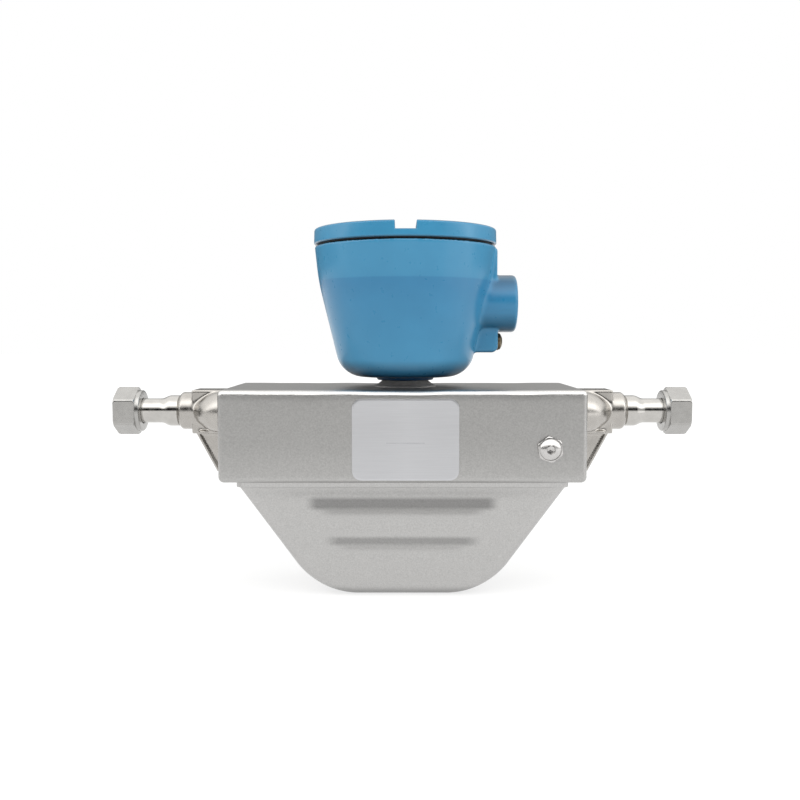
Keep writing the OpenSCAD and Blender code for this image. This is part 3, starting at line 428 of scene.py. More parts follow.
# weld flange, its lower edge dressed round
base, lip = len(points), pan_high[:2]
flange = rounded(lip[0], lip[1], 4, 8)
n = len(flange)
for z, inset in ((pan_top, 0.8), (pan_top + 0.1, 0.25), (pan_top + 0.35, 0), (pan_high[2], 0)):
    for x, y in flange:
        points.append((x * (1 - inset / lip[0]), y * (1 - inset / lip[1]), z))
for k in range(3):
    for i in range(n):
        a, b = base + k * n + i, base + k * n + (i + 1) % n
        faces.append([a, b, b + n, a + n])
faces.append([base + i for i in range(n)][::-1])
faces.append([base + 3 * n + i for i in range(n)])
# the same blasted steel as the box, painted a shade lighter; painted shade in the pressed grooves, below the
# flange and along the bottom edge
pan_steel = blasted_steel("pan_steel", (0.485, 0.48, 0.472), 0.34)
tree = pan_steel.node_tree
painted_light_patches(tree, tree.nodes["Principled BSDF"], [(0, 51.8, 49, 3.0, 4, 1.5, 0.52),
                                            (0, 31.0, 38.5, 2.1, 5, 1.3, 0.64),
                                            (0, 57.5, 62, 1.5, 30, 4, 0.78),
                                            (0, 0, None, 3.5, 0, 3, 0.6)])
make("case_pan", points, faces, pan_steel, "meter", ["case_pan"], 50)

# ---- Name plate --------------------------------------------------------------
# Thin satin aluminium plate, bonded to the front of the case and left bare but for
# a fine printed rule across its middle.
plate_low, plate_high = box_of("name_plate")
plate_mid, plate_half = (plate_low + plate_high) / 2, (plate_high - plate_low) / 2
plate_r = 5.0


def front_plate(outline, middle, half, y_back, y_front, ease):
    """Points and faces of a thin plate that faces the front, its rim eased."""
    points, faces, n = [], [], len(outline)
    for y, inset in ((y_back, 0), (y_front + ease, 0), (y_front + 0.3 * ease, 0.3 * ease), (y_front, ease),
                     (y_front, 5 * ease)):
        for x, z in outline:
            points.append((middle[0] + x * (1 - inset / half[0]), y, middle[2] + z * (1 - inset / half[2])))
    for k in range(4):
        for i in range(n):
            a, b = k * n + i, k * n + (i + 1) % n
            faces.append([a, b, b + n, a + n])
    faces.append([4 * n + i for i in range(n)])
    faces.append(list(range(n))[::-1])
    return points, faces


plate_metal, tree, shader = finish("plate_metal", (0.557, 0.56, 0.576), 1, 0.26)
brushed = (0.02, 1, 1)
vary(tree, speckle(tree, 2600, 3, brushed), (0.54, 0.544, 0.56), (0.572, 0.576, 0.592),
     shader.inputs["Base Color"])
vary(tree, speckle(tree, 2000, 3, brushed), 0.3, 0.36, shader.inputs["Roughness"])
roughen(tree, shader, speckle(tree, 3000, 2, brushed), 0.000004)
# painted reflection: the plate is lighter in a soft band down its middle and towards its top edge
painted_light_patches(tree, shader, [(plate_mid[0] + 1, 0, 3, None, 16, 0, 1.05), (0, plate_high[2], None, 8, 0, 8, 1.07)])
points, faces = front_plate(rounded(plate_half[0], plate_half[2], plate_r), plate_mid, plate_half,
                            plate_high[1], plate_low[1], 0.2)
make("name_plate", points, faces, plate_metal, "meter", ["name_plate"])

rule_half = np.array((10.2, 0, 0.2))
rule_ink, tree, shader = finish("plate_ink", (0.40, 0.40, 0.42), 0, 0.5)
vary(tree, speckle(tree, 2500, 2), (0.36, 0.36, 0.38), (0.45, 0.45, 0.47), shader.inputs["Base Color"])
rule_mid = plate_mid - (0, 0, 1.7)
points, faces = front_plate(rounded(rule_half[0], rule_half[2], 0.19, 3), rule_mid, rule_half,
                            plate_low[1] + 0.02, plate_low[1] - 0.03, 0.02)
make("plate_rule", points, faces, rule_ink, "meter")

# ---- Vent plug ---------------------------------------------------------------
# Stainless hexagon plug with a domed, polished crown and a socket for a key, screwed
# into a boss that is welded behind the front wall of the case.


def polished_steel(name, colour, roughness):
    """Steel polished by hand or by tumbling."""
    material, tree, shader = finish(name, colour, 1, roughness)
    vary(tree, speckle(tree, 250, 3), [0.93 * c for c in colour], [min(1, 1.05 * c) for c in colour],
         shader.inputs["Base Color"])
    vary(tree, speckle(tree, 500, 3), roughness - 0.04, roughness + 0.07, shader.inputs["Roughness"])
    roughen(tree, shader, speckle(tree, 1800, 2), 0.00001)
    return material


def hexagon(over_flats, bearing, ease=0.25):
    """Reach of a hexagon with slightly rounded corners, a corner at bearing 0."""
    off = (bearing + math.pi / 6) % (math.pi / 3) - math.pi / 6
    return min(over_flats / math.cos(math.pi / 6 - abs(off)), over_flats / math.cos(math.pi / 6) - ease)


def stacked(rings, closed=False, capped=False):
    """Points and faces of rings of one count, each joined to the next."""
    turns = len(rings[0])
    points = [tuple(p) for ring in rings for p in ring]
    faces = []
    for a in range(len(rings) if closed else len(rings) - 1):
        b = (a + 1) % len(rings)
        for k in range(turns):
            m = (k + 1) % turns
            faces.append([a * turns + k, a * turns + m, b * turns + m, b * turns + k])
    if capped:
        faces.append(list(range(turns))[::-1])
        faces.append([(len(rings) - 1) * turns + k for k in range(turns)])
    return points, faces


def ring(along, reach, turns):
    """A ring across the x axis; reach is a radius or a function of the bearing."""
    out = []
    for k in range(turns):
        bearing = 2 * math.pi * k / turns
        r = reach(bearing) if callable(reach) else reach
        out.append((along, r * math.sin(bearing), -r * math.cos(bearing)))
    return out


plug_steel = polished_steel("plug_steel", (0.56, 0.55, 0.54), 0.24)
vent_low, vent_high = box_of("vent_plug")
plug_axis = (vent_low + vent_high) / 2
plug_flats, plug_turns, plug_skew = 6.3, 144, math.radians(8)
dome_r, dome_rise, plug_base = 5.6, 2.4, 1.8
dome_ball = (dome_r**2 + dome_rise**2) / (2 * dome_rise)
key_flats, key_depth = 2.0, 2.0
shank_end, shank_r = -9, 4.7


def plug_hex(cap):
    """The plug's hexagon, turned back to a radius at its corners."""
    return lambda bearing: min(cap, hexagon(plug_flats, bearing - plug_skew, 0.2))


def key_hex(flats, ease=0.05):
    """A hexagon socket."""
    return lambda bearing: hexagon(flats, bearing, ease)


profile = [(shank_end, 0.02), (shank_end, 4.0), (-8.3, shank_r), (0, shank_r), (0, plug_hex(9)),
           (0.5, plug_hex(9))]
profile += [(plug_base - 0.9 + 0.9 * t, plug_hex(7.35 - 1.05 * t * t)) for t in np.linspace(0, 1, 6)]
profile += [(plug_base + 0.05, dome_r + 0.25), (plug_base - 0.1, dome_r + 0.08)]
profile += [(plug_base + (dome_rise - dome_ball + math.sqrt(dome_ball**2 - r * r)), r)
            for r in np.linspace(dome_r, 2.75, 14)]
crown = plug_base + dome_rise - dome_ball + math.sqrt(dome_ball**2 - 2.3**2)
profile += [(crown - 0.02, key_hex(key_flats + 0.22, 0.1)), (crown - 0.3, key_hex(key_flats)),
            (crown - key_depth, key_hex(key_flats)), (crown - key_depth - 0.5, 0.02)]
points, faces = stacked([ring(along, reach, plug_turns) for along, reach in profile], capped=True)
points = [(plug_axis[0] + y, case_low[1] - x, plug_axis[2] + z) for x, y, z in points]
make("vent_plug", points, faces, plug_steel, "meter", ["vent_plug"], 32)

# ---- Glands ------------------------------------------------------------------
# Turned and polished stainless tube ends, with a swelling next to the casting and a
# flat head that the union nut pulls on.
gland_low, gland_high = box_of("outlet_gland")
flow_z = (gland_low[2] + gland_high[2]) / 2
collar_x, gland_end = gland_low[0], gland_high[0]
bore_r, gland_r, swell_r, gland_head_r = 5.2, 6.9, 8.7, 9.1
gland_head_x = gland_end - 2.8
seal_from, seal_to, seal_deep = 6.15, 8.15, 1.3
swell_from, swell_to = collar_x + 5.1, collar_x + 11.1


def eased(corners, steps=6):
    """Rounds the corners of a profile; each corner is (along, radius, rounding)."""
    out = []
    for i, corner in enumerate(corners):
        here = np.array(corner[:2], float)
        ease = corner[2] if len(corner) > 2 else 0
        if not ease or i in (0, len(corners) - 1):
            out.append(tuple(here))
            continue
        before = np.array(corners[i - 1][:2], float) - here
        after = np.array(corners[i + 1][:2], float) - here
        a, b = np.linalg.norm(before), np.linalg.norm(after)
        bend = math.acos(max(-1, min(1, float(before @ after) / (a * b))))
        cut = min(ease / max(1e-6, math.tan(bend / 2)), 0.49 * a, 0.49 * b)
        p, q = here + before / a * cut, here + after / b * cut
        for t in np.linspace(0, 1, steps):
            out.append(tuple((1 - t) ** 2 * p + 2 * t * (1 - t) * here + t * t * q))
    return out


def turned(profile, centre, way="x", turns=144):
    """Points and faces of a profile (along, radius) turned about an axis through centre."""
    rings = [ring(along, max(radius, 0.02), turns) for along, radius in profile]
    points, faces = stacked(rings, capped=profile[0] != profile[-1])
    turn = {"x": lambda p: p,
            "z": lambda p: (p[1], p[2], p[0]),
            "-x": lambda p: (-p[0], p[1], p[2])}[way]
    return [tuple(np.add(turn(p), centre)) for p in points], faces


fitting_steel = polished_steel("fitting_steel", (0.505, 0.492, 0.47), 0.13)
gland_profile = [(collar_x, bore_r), (collar_x, swell_r - 0.7), (collar_x + 0.7, swell_r, 0.6)]
gland_profile += [(swell_to - (swell_to - swell_from) * (1 - t),
                   gland_r + (swell_r - gland_r) * (1 + math.cos(math.pi * t)) / 2)
                  for t in np.linspace(0, 1, 13)]
gland_profile += [(gland_head_x, gland_r, 0.4), (gland_head_x, gland_head_r, 0.3),
                  (gland_end, gland_head_r, 0.4), (gland_end, seal_to, 0.1),
                  (gland_end - seal_deep, seal_to, 0.1), (gland_end - seal_deep, seal_from, 0.1),
                  (gland_end, seal_from, 0.1), (gland_end, bore_r, 0.3), (collar_x, bore_r)]
for end, way in (("inlet", "-x"), ("outlet", "x")):
    points, faces = turned(eased(gland_profile), (0, 0, flow_z), way)
    make(end + "_gland", points, faces, fitting_steel, "meter", [end + "_gland"], 40)

# ---- Union nuts --------------------------------------------------------------
# Hexagon nuts of stainless bar, free to turn on the glands: chamfered at both ends,
# with a round collar behind and a thread cut inside.
nut_low, nut_high = box_of("outlet_nut")
nut_rear, nut_mouth = nut_low[0], nut_high[0]
nut_flats, nut_collar_r, nut_turns = 11.9, 11.6, 180
hex_from = nut_rear + 2.4
nut_seat = nut_rear + 3.2
thread_r, thread_deep, thread_pitch = 9.5, 0.85, 1.5


def threaded(start, length, pitch, crest, root, turns, way=1):
    """Rings of a screw thread that starts at start and runs way along x, fading at its ends."""
    rings = []
    for t in np.linspace(0, length, int(8 * length / pitch)):
        fade = min(1, t / pitch, (length - t) / pitch)
        out = []
        for k in range(turns):
            phase = (way * t / pitch - k / turns) % 1
            deep = fade * min(1, max(0, 1.15 * (1 - abs(2 * phase - 1)) - 0.08))
            bearing, r = 2 * math.pi * k / turns, crest + (root - crest) * deep
            out.append((start + way * t, r * math.sin(bearing), -r * math.cos(bearing)))
        rings.append(out)
    return rings


def nut_hex(cap):
    """The nut's hexagon, chamfered back to a radius at its corners."""
    return lambda bearing: min(cap, hexagon(nut_flats, bearing))


nut_steel = polished_steel("nut_steel", (0.407, 0.401, 0.388), 0.24)
outside = [(nut_rear + 0.3, 7.15), (nut_rear, 7.5), (nut_rear, nut_collar_r - 0.7)]
outside += [(nut_rear + 0.7 * (1 - math.cos(a)), nut_collar_r - 0.7 + 0.7 * math.sin(a))
            for a in np.linspace(0.25, math.pi / 2, 5)]
outside += [(hex_from - 0.15, nut_collar_r), (hex_from, nut_collar_r + 0.1)]
outside += [(hex_from + a, nut_hex(nut_flats + 0.9 + 0.9 * a**0.8)) for a in np.linspace(0.02, 1.5, 9)]
outside += [(a, nut_hex(15)) for a in np.linspace(hex_from + 2.2, nut_mouth - 2.6, 4)]
outside += [(nut_mouth - 2.2 + a, nut_hex(13.8 - 0.24 * a**1.9)) for a in np.linspace(0, 2.0, 11)]
outside += [(nut_mouth - 0.06, nut_flats - 0.75), (nut_mouth, nut_flats - 1.1),
            (nut_mouth, thread_r + 1.0), (nut_mouth - 0.15, thread_r + 0.8)]
behind_thread = [(gland_end + 0.6, thread_r + 0.3), (nut_seat, thread_r + 0.3), (nut_seat, 7.15)]
rings = [ring(along, reach, nut_turns) for along, reach in outside]
rings += threaded(nut_mouth - 0.8, nut_mouth - 0.8 - gland_end - 0.8, thread_pitch,
                  thread_r, thread_r + thread_deep, nut_turns, -1)
rings += [ring(along, reach, nut_turns) for along, reach in behind_thread]
points, faces = stacked(rings, closed=True)
for end, way in (("inlet", -1), ("outlet", 1)):
    placed = [(way * x, y, flow_z + z) for x, y, z in points]
    make(end + "_nut", placed, [f[::way] for f in faces], nut_steel, end + "_nut",
         [end + "_nut"], 28)

# ---- Manifold castings -------------------------------------------------------
# Investment castings welded to the ends of the case: a collar, rounded shoulders
# over the two branches, and webs edged with ribs; polished by tumbling.


def meet(a, b, r):
    """Two solids joined with a fillet of about r."""
    h = np.maximum(r - np.abs(a - b), 0) / r
    return np.minimum(a, b) - h * h * r / 4


def trim(a, b, r):
    """What two solids share, with the edge eased by about r."""
    return -meet(-a, -b, r)


def slope_of(field, points):
    """Slope of a distance field at points."""
    slopes = []
    for c in range(3):
        shift = np.zeros(3)
        shift[c] = 0.02
        slopes.append((field(*(points + shift).T) - field(*(points - shift).T)) / 0.04)
    return np.stack(slopes, 1)


def skin(field, low, high, step):
    """Points and faces of the surface of a solid given by its distance field."""
    axes = [np.arange(low[i], high[i] + step, step) for i in range(3)]
    grid = np.meshgrid(*axes, indexing="ij")
    value = field(*grid)
    inside = value < 0
    shape = [s - 1 for s in value.shape]
    total, count = np.zeros(shape + [3]), np.zeros(shape)

    def crossing(axis):
        """Both ends of the grid's edges along an axis, and the edges that cross the surface."""
        a = tuple(slice(0, -1) if i == axis else slice(None) for i in range(3))
        b = tuple(slice(1, None) if i == axis else slice(None) for i in range(3))
        return value[a], value[b], inside[a] != inside[b]

    for axis in range(3):
        va, vb, cross = crossing(axis)
        t = np.where(cross, va / np.where(cross, va - vb, 1), 0)
        u, v = [i for i in range(3) if i != axis]
        for du in (0, 1):
            for dv in (0, 1):
                pick = [None] * 3
                pick[axis] = slice(0, shape[axis])
                pick[u] = slice(du, du + shape[u])
                pick[v] = slice(dv, dv + shape[v])
                hit, along = cross[tuple(pick)], t[tuple(pick)]
                count += hit
                offset = [0.0, 0.0, 0.0]
                offset[u], offset[v] = du, dv
                for c in range(3):
                    total[..., c] += hit * (along if c == axis else offset[c])
    active = count > 0
    index = -np.ones(shape, int)
    index[active] = np.arange(active.sum())
    cell = np.argwhere(active)
    points = np.array(low) + step * (cell + total[active] / count[active][:, None])
    home = points.copy()
    for _ in range(4):
        f = field(*points.T)
        g = slope_of(field, points)
        points = points - (f / np.maximum(0.2, (g * g).sum(1)))[:, None] * g
        points = home + np.clip(points - home, -0.46 * step, 0.46 * step)
    faces = []
    for axis in range(3):
        u, v = [(1, 2), (2, 0), (0, 1)][axis]
        where = np.argwhere(crossing(axis)[2])
        within = (where[:, u] < shape[u]) & (where[:, v] < shape[v])
        where = where[(where[:, u] > 0) & (where[:, v] > 0) & within]
        corner = []
        for du, dv in ((1, 1), (0, 1), (0, 0), (1, 0)):
            at = where.copy()
            at[:, u] -= du
            at[:, v] -= dv
            corner.append(index[tuple(at.T)])
        quads = np.stack(corner, 1)
        outward = inside[tuple(where.T)]
        quads[~outward] = quads[~outward][:, ::-1]
        faces.append(quads)
    # slides the points along the surface until they are evenly spread
    quads = np.concatenate(faces)
    a, b, n = quads.ravel(), np.roll(quads, -1, 1).ravel(), len(points)
    share = np.maximum(1, np.bincount(a, minlength=n) + np.bincount(b, minlength=n))[:, None]
    for _ in range(4):
        near = np.stack([np.bincount(a, points[b, c], n) + np.bincount(b, points[a, c], n)
                         for c in range(3)], 1)
        f, g = field(*points.T), slope_of(field, points)
        size = np.maximum(0.2, (g * g).sum(1))[:, None]
        pull = (near / share - points) * (near != 0)
        pull -= (pull * g).sum(1)[:, None] / size * g
        points = points + 0.7 * pull - f[:, None] / size * g
    return points, quads.tolist()


def slab(x, y, z, low, high, r):
    """Block between two corners with edges rounded by r."""
    d = [np.maximum(low[i] + r - c, c - high[i] + r) for i, c in enumerate((x, y, z))]
    out = np.sqrt(sum(np.maximum(c, 0) ** 2 for c in d))
    return out + np.minimum(np.maximum(np.maximum(d[0], d[1]), d[2]), 0) - r


cast_root = case_high[0]
collar_from, collar_r, barrel_r = collar_x - 8.5, 10.55, 10.15
top_web, under_rib = 12.2, -12.2
web_half, rib_half, crown_half, shelf_half = 1.7, 2.6, 9.4, 11.2
swell_x, swell_drop, swell_ball = cast_root + 2.0, 7.7, 19.1
rib_thick = 1.8
rib_high = np.array((collar_from + 0.8, under_rib + rib_thick))
rib_low = np.array((cast_root + 7.4, case_low[2] + 1 - flow_z))
rib_way = (rib_low - rib_high) / np.linalg.norm(rib_low - rib_high)
branch_y, branch_r = 14.0, 7.5
diagonal = 0.7071


def casting(x, y, z):
    """Distance field of the casting at the outlet."""
    z = z - flow_z
    round_x = np.hypot(y, z)
    swell = np.sqrt(np.maximum(swell_ball**2 - (x - swell_x) ** 2, 0)) - swell_drop
    aside = np.abs(y) - branch_y + 6 * np.clip((x - cast_root) / 19.5, 0, 1)
    body = trim((np.hypot(aside, z) - swell) * 0.72, under_rib + 0.9 - z, 1.0)
    barrel = np.maximum(round_x - barrel_r, x - collar_from - 2)
    body = meet(body, barrel, 3.0)
    web = slab(x, y, z, (cast_root - 4, -crown_half, under_rib),
               (collar_from + 0.4, crown_half, top_web), 0.8)
    body = meet(body, web, 1.2)
    shelf = slab(x, y, z, (cast_root - 4, -shelf_half, under_rib),
                 (collar_from - 4.0, shelf_half, under_rib + rib_thick), 0.7)
    body = meet(body, shelf, 1.2)
    off = (x - rib_high[0]) * (-rib_way[1]) + (z - rib_high[1]) * rib_way[0]
    gusset = np.maximum(np.maximum(np.abs(y) - web_half, off + 0.4),
                        np.maximum(z - rib_high[1], rib_low[1] - z))
    body = meet(body, gusset, 1.6)
    rib = trim(trim(np.abs(y) - rib_half, np.abs(off + rib_thick / 2) - rib_thick / 2, 0.3),
               np.maximum(z - rib_high[1] - 0.4, rib_low[1] - z), 0.4)
    body = meet(body, rib, 0.4)
    body = np.maximum(body, cast_root - 1.5 - x)
    collar = trim(np.maximum(round_x - collar_r, collar_from - x),
                  (x - collar_x) * diagonal + (round_x - 8.9) * diagonal, 0.5)
    collar = trim(collar, x - collar_x, 0.3)
    body = meet(body, collar, 0.5)
    spigot = np.hypot(np.maximum(np.abs(y) - branch_y, 0), z) - branch_r
    spigot = trim(spigot, np.maximum(cast_root - 14 - x, x - cast_root - 1), 0.4)
    body = np.minimum(body, spigot)
    bore = np.maximum(round_x - bore_r, collar_x - 22 - x)
    sockets = np.maximum(np.hypot(np.abs(y) - branch_y, z) - 4.05, x - cast_root + 8)
    return trim(body, -np.minimum(bore, sockets), 0.3)


cast_steel = polished_steel("cast_steel", (0.443, 0.425, 0.40), 0.24)
for end, way in (("inlet", -1), ("outlet", 1)):
    points, faces = skin(casting, (cast_root - 15, -27, flow_z - 36.5),
                         (collar_x + 1.2, 27, flow_z + 14), 0.72)
    points = points * (way, 1, 1)
    make(end + "_manifold", points, faces, cast_steel, "meter", [end + "_manifold"], 60, 1e-4)


def dress(names, material):
    """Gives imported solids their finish."""
    for name in names:
        piece = nodes[name]
        piece.data.materials.clear()
        piece.data.materials.append(material)


tube_steel = polished_steel("tube_steel", (0.68, 0.66, 0.62), 0.18)


def plain_metal(name, colour, darker, lighter, roughness, grain, bumps, height=0.00002, stretch=(1, 1, 1)):
    """Bare or plated metal; grain and bumps are each a speckle's scale and detail."""
    material, tree, shader = finish(name, colour, 1, roughness)
    vary(tree, speckle(tree, *grain, stretch), darker, lighter, shader.inputs["Base Color"])
    roughen(tree, shader, speckle(tree, *bumps, stretch), height)
    return material


drawn = (1, 0.1, 1)
brace_steel = plain_metal("brace_steel", (0.56, 0.54, 0.51), (0.50, 0.48, 0.45), (0.60, 0.58, 0.55), 0.4,
                          (800, 3), (1200, 3), stretch=drawn)
dress(("front_flow_tube", "rear_flow_tube"), tube_steel)
dress(("inlet_upper_brace", "inlet_lower_brace", "outlet_upper_brace", "outlet_lower_brace"), brace_steel)

# ---- Coils, magnets and their saddles ----------------------------------------
# Moulded bobbins wound with enamelled copper wire on the front tube, with nickel-
# plated magnets facing them on the rear one; folded steel saddles join each to its tube.


def moulded(name, colour, roughness=0.5, grain=700, height=0.00002):
    """Moulded resin or plastic with a fine grain."""
    material, tree, shader = finish(name, colour, 0, roughness)
    vary(tree, speckle(tree, grain * 0.3, 3), [0.93 * c for c in colour], [min(1, 1.06 * c) for c in colour],
         shader.inputs["Base Color"])
    vary(tree, speckle(tree, grain, 3), roughness - 0.06, roughness + 0.08, shader.inputs["Roughness"])
    roughen(tree, shader, speckle(tree, grain * 2, 2), height)
    return material


def striped(name, colour, dark, metallic, roughness, pitch, direction, height):
    """A finish of fine parallel lines, such as wire or a screw's thread."""
    material, tree, shader = finish(name, colour, metallic, roughness)
    place = tree.nodes.new("ShaderNodeTexCoord")
    wave = tree.nodes.new("ShaderNodeTexWave")
    wave.bands_direction = direction
    wave.inputs["Scale"].default_value = 0.3142 / pitch
    wave.inputs["Distortion"].default_value = 0.3
    tree.links.new(place.outputs["Object"], wave.inputs["Vector"])
    vary(tree, wave.outputs["Fac"], dark, colour, shader.inputs["Base Color"])
    roughen(tree, shader, wave.outputs["Fac"], height)
    return material


bobbin_resin = moulded("bobbin_resin", (0.62, 0.56, 0.42), 0.45)
copper_wire = striped("copper_wire", (0.72, 0.33, 0.14), (0.36, 0.13, 0.05), 0.9, 0.28, 0.0004, "Y", 0.0001)
magnet_nickel = polished_steel("magnet_nickel", (0.55, 0.53, 0.49), 0.2)
saddle_steel = plain_metal("saddle_steel", (0.48, 0.47, 0.45), (0.43, 0.42, 0.40), (0.53, 0.52, 0.50), 0.42,
                           (900, 3), (900, 3))
dress(("drive_coil", "inlet_pickoff_coil", "outlet_pickoff_coil"), bobbin_resin)
dress(("coil_windings",), copper_wire)
dress(("drive_magnet", "inlet_pickoff_magnet", "outlet_pickoff_magnet"), magnet_nickel)
dress(("coil_saddles", "magnet_saddles"), saddle_steel)

# ---- Sensor, leads and connector ---------------------------------------------
# A ceramic resistance thermometer strapped to the outlet leg, and red sleeved leads
# that gather from the coils to a black connector under the neck.
dress(("temperature_sensor",), moulded("sensor_ceramic", (0.74, 0.70, 0.60), 0.35))
dress(("coil_leads",), moulded("lead_sleeve", (0.42, 0.035, 0.028), 0.38, 900))
dress(("lead_connector",), moulded("connector_resin", (0.03, 0.03, 0.033), 0.42))

# ---- Vent boss ---------------------------------------------------------------
# Turned steel boss welded behind the front wall, threaded for the vent plug.
boss_steel = plain_metal("boss_steel", (0.5, 0.49, 0.47), (0.45, 0.44, 0.42), (0.55, 0.54, 0.52), 0.36,
                         (500, 3), (1400, 2), stretch=drawn)
dress(("vent_boss",), boss_steel)

# ---- Neck --------------------------------------------------------------------
# Flared steel neck, welded to the roof of the case and threaded into the head; it
# is left darker than the case.
neck_low, neck_high = box_of("neck_post")
head_x = (neck_low[0] + neck_high[0]) / 2
roof, neck_top = neck_low[2], neck_high[2]
cup_low, cup_high = box_of("head_housing")
socket_z, seam_z = cup_low[2], cup_high[2]
neck_bore, neck_r, flare_r, neck_ledge = 7.0, 11.2, 17.6, 12.8
neck_steel, tree, shader = finish("neck_steel", (0.60, 0.59, 0.58), 0.2, 0.45)
vary(tree, speckle(tree, 400, 3), (0.55, 0.54, 0.53), (0.65, 0.64, 0.63), shader.inputs["Base Color"])
vary(tree, speckle(tree, 700, 3), 0.38, 0.52, shader.inputs["Roughness"])
roughen(tree, shader, speckle(tree, 1500, 2), 0.00002)
neck_profile = [(roof, neck_bore), (roof, flare_r), (roof + 0.4, flare_r, 0.3),
                (roof + 1.4, flare_r - 2.2, 1.5), (socket_z - 0.7, neck_ledge + 0.6, 0.3),
                (socket_z - 0.2, neck_ledge, 0.1), (socket_z - 0.2, neck_r, 0.1),
                (socket_z + 2.5, neck_r, 0.1), (neck_top - 0.6, neck_r, 0.1),
                (neck_top, neck_r - 0.6, 0.1), (neck_top, neck_bore, 0.1), (roof, neck_bore)]
points, faces = turned(eased(neck_profile), (head_x, 0, 0), "z")
make("neck_post", points, faces, neck_steel, "meter", ["neck_post"], 40)
lock_brass = plain_metal("lock_brass", (0.55, 0.46, 0.26), (0.50, 0.41, 0.22), (0.60, 0.50, 0.30), 0.3,
                         (600, 3), (1500, 2))
dress(("neck_lock_nut",), lock_brass)
dress(("feedthrough",), moulded("header_glass", (0.03, 0.075, 0.06), 0.15, 500))

# ---- Head housing ------------------------------------------------------------
# Cast aluminium bowl under semi-gloss blue enamel, with a socket below, a boss for
# the conduit, a flat pad over it and a lug for the earth screw.
head_z = roof + 5.6
band_z = seam_z - 19.0
rim_r, band_r, cover_reach = 50.6, 48.6, 51.0
wall_lean = math.radians(13.5)
floor_z, wall_thick, bottom_r = head_z + 4.6, 4.0, 11.0
mouth_r, mouth_thread_r = 45.3, 46.3
boss_axis_z, boss_r, boss_face = head_z + 40.9, 16.0, cup_high[0]
conduit_r, conduit_deep_r, conduit_long = 9.6, 10.7, 14.5
lug_top, lug_foot_z, lug_half = boss_axis_z - boss_r + 1.5, boss_axis_z - boss_r - 11.3, 8.0
lug_face = head_x + cover_reach + 0.8
post_r, post_reach, post_top = 3.6, 23.55, floor_z + 7.4
earth_bearing, earth_z, earth_r, earth_from, earth_to = math.radians(130), boss_axis_z - 4.0, 4.2, 35.2, 43
socket_r, pad_half = 16.05, 10.5


def bowl_inside(x, y, z):
    """Distance field of the room inside the bowl, and of its threaded mouth."""
    across = np.hypot(x - head_x, y)
    wall_in = band_r - wall_thick / math.cos(wall_lean) - (band_z - z) * math.tan(wall_lean)
    wall = (across - wall_in) * math.cos(wall_lean)
    low_part = trim(wall, floor_z - z, 7)
    mouth = np.maximum(across - mouth_thread_r, seam_z - 14.5 - z)
    return meet(low_part, mouth, 0.6)


def housing(x, y, z):
    """Distance field of the housing."""
    across = np.hypot(x - head_x, y)
    wall = (across - (band_r - (band_z - z) * math.tan(wall_lean))) * math.cos(wall_lean)
    band = (across - (band_r + (z - band_z) * (rim_r - band_r) / (seam_z - band_z))) * 0.994
    shell = trim(wall, band, 1.0)
    foot = head_z - z
    round_foot = np.sqrt(np.maximum(shell + bottom_r, 0) ** 2 + np.maximum(foot + bottom_r, 0) ** 2)
    round_foot = round_foot - bottom_r
    body = np.where((shell > -bottom_r) & (foot > -bottom_r), round_foot, np.maximum(shell, foot))
    body = trim(body, z - seam_z, 1.1)
    socket = trim(across - socket_r, socket_z - z, 0.8)
    body = meet(body, np.maximum(socket, z - head_z - 3), 1.2)
    boss = trim(np.hypot(y, z - boss_axis_z) - boss_r, x - boss_face, 2.6)
    body = meet(body, np.maximum(boss, 30 - x), 3.4)
    pad = slab(x, y, z, (20, -pad_half, boss_axis_z), (head_x + cover_reach, pad_half, seam_z - 1.5), 1.2)
    body = meet(body, pad, 1.8)
    lug = slab(x, y, z, (20, -lug_half, lug_foot_z), (lug_face, lug_half, lug_top + 1), 1.3)
    lug = trim(lug, ((x - lug_face) - (z - lug_foot_z - 2.2)) * diagonal, 1.0)
    body = meet(body, lug, 1.6)
    body = trim(body, -bowl_inside(x, y, z), 0.6)
    body = trim(body, -np.maximum(np.hypot(y, z - boss_axis_z) - conduit_deep_r, 35 - x), 0.6)
    body = np.maximum(body, -np.maximum(across - neck_r - 0.3, z - floor_z - 3))
    for bearing in (0, 120, 240):
        a = math.radians(bearing)
        post = np.hypot(x - head_x - post_reach * math.cos(a), y - post_reach * math.sin(a)) - post_r
        body = meet(body, np.maximum(np.maximum(post, z - post_top), floor_z - 2 - z), 1.0)
    out = (x - head_x) * math.cos(earth_bearing) + y * math.sin(earth_bearing)
    aside = y * math.cos(earth_bearing) - (x - head_x) * math.sin(earth_bearing)
    earth = np.maximum(np.hypot(aside, z - earth_z) - earth_r, np.maximum(earth_from - out, out - earth_to))
    return meet(body, earth, 1.2)


head_paint, tree, shader = finish("head_enamel", (0.036, 0.215, 0.39), 0, 0.3)
vary(tree, speckle(tree, 70, 3), (0.034, 0.207, 0.378), (0.038, 0.223, 0.402), shader.inputs["Base Color"])
vary(tree, speckle(tree, 300, 3), 0.27, 0.34, shader.inputs["Roughness"])
shader.inputs["Specular IOR Level"].default_value = 0.35
shader.inputs["Coat Weight"].default_value = 0.25
shader.inputs["Coat Roughness"].default_value = 0.14


def multiply_colour(tree, shader, tone, scale=1.0):
    """Multiplies the base colour by a tone and by a number."""
    mixed = tree.nodes.new("ShaderNodeVectorMath")
    mixed.operation = "MULTIPLY"
    scaled = tree.nodes.new("ShaderNodeVectorMath")
    scaled.operation = "SCALE"
    scaled.inputs["Scale"].default_value = scale
    tree.links.new(shader.inputs["Base Color"].links[0].from_socket, mixed.inputs[0])
    tree.links.new(tone, mixed.inputs[1])
    tree.links.new(mixed.outputs[0], scaled.inputs[0])
    tree.links.new(scaled.outputs[0], shader.inputs["Base Color"])


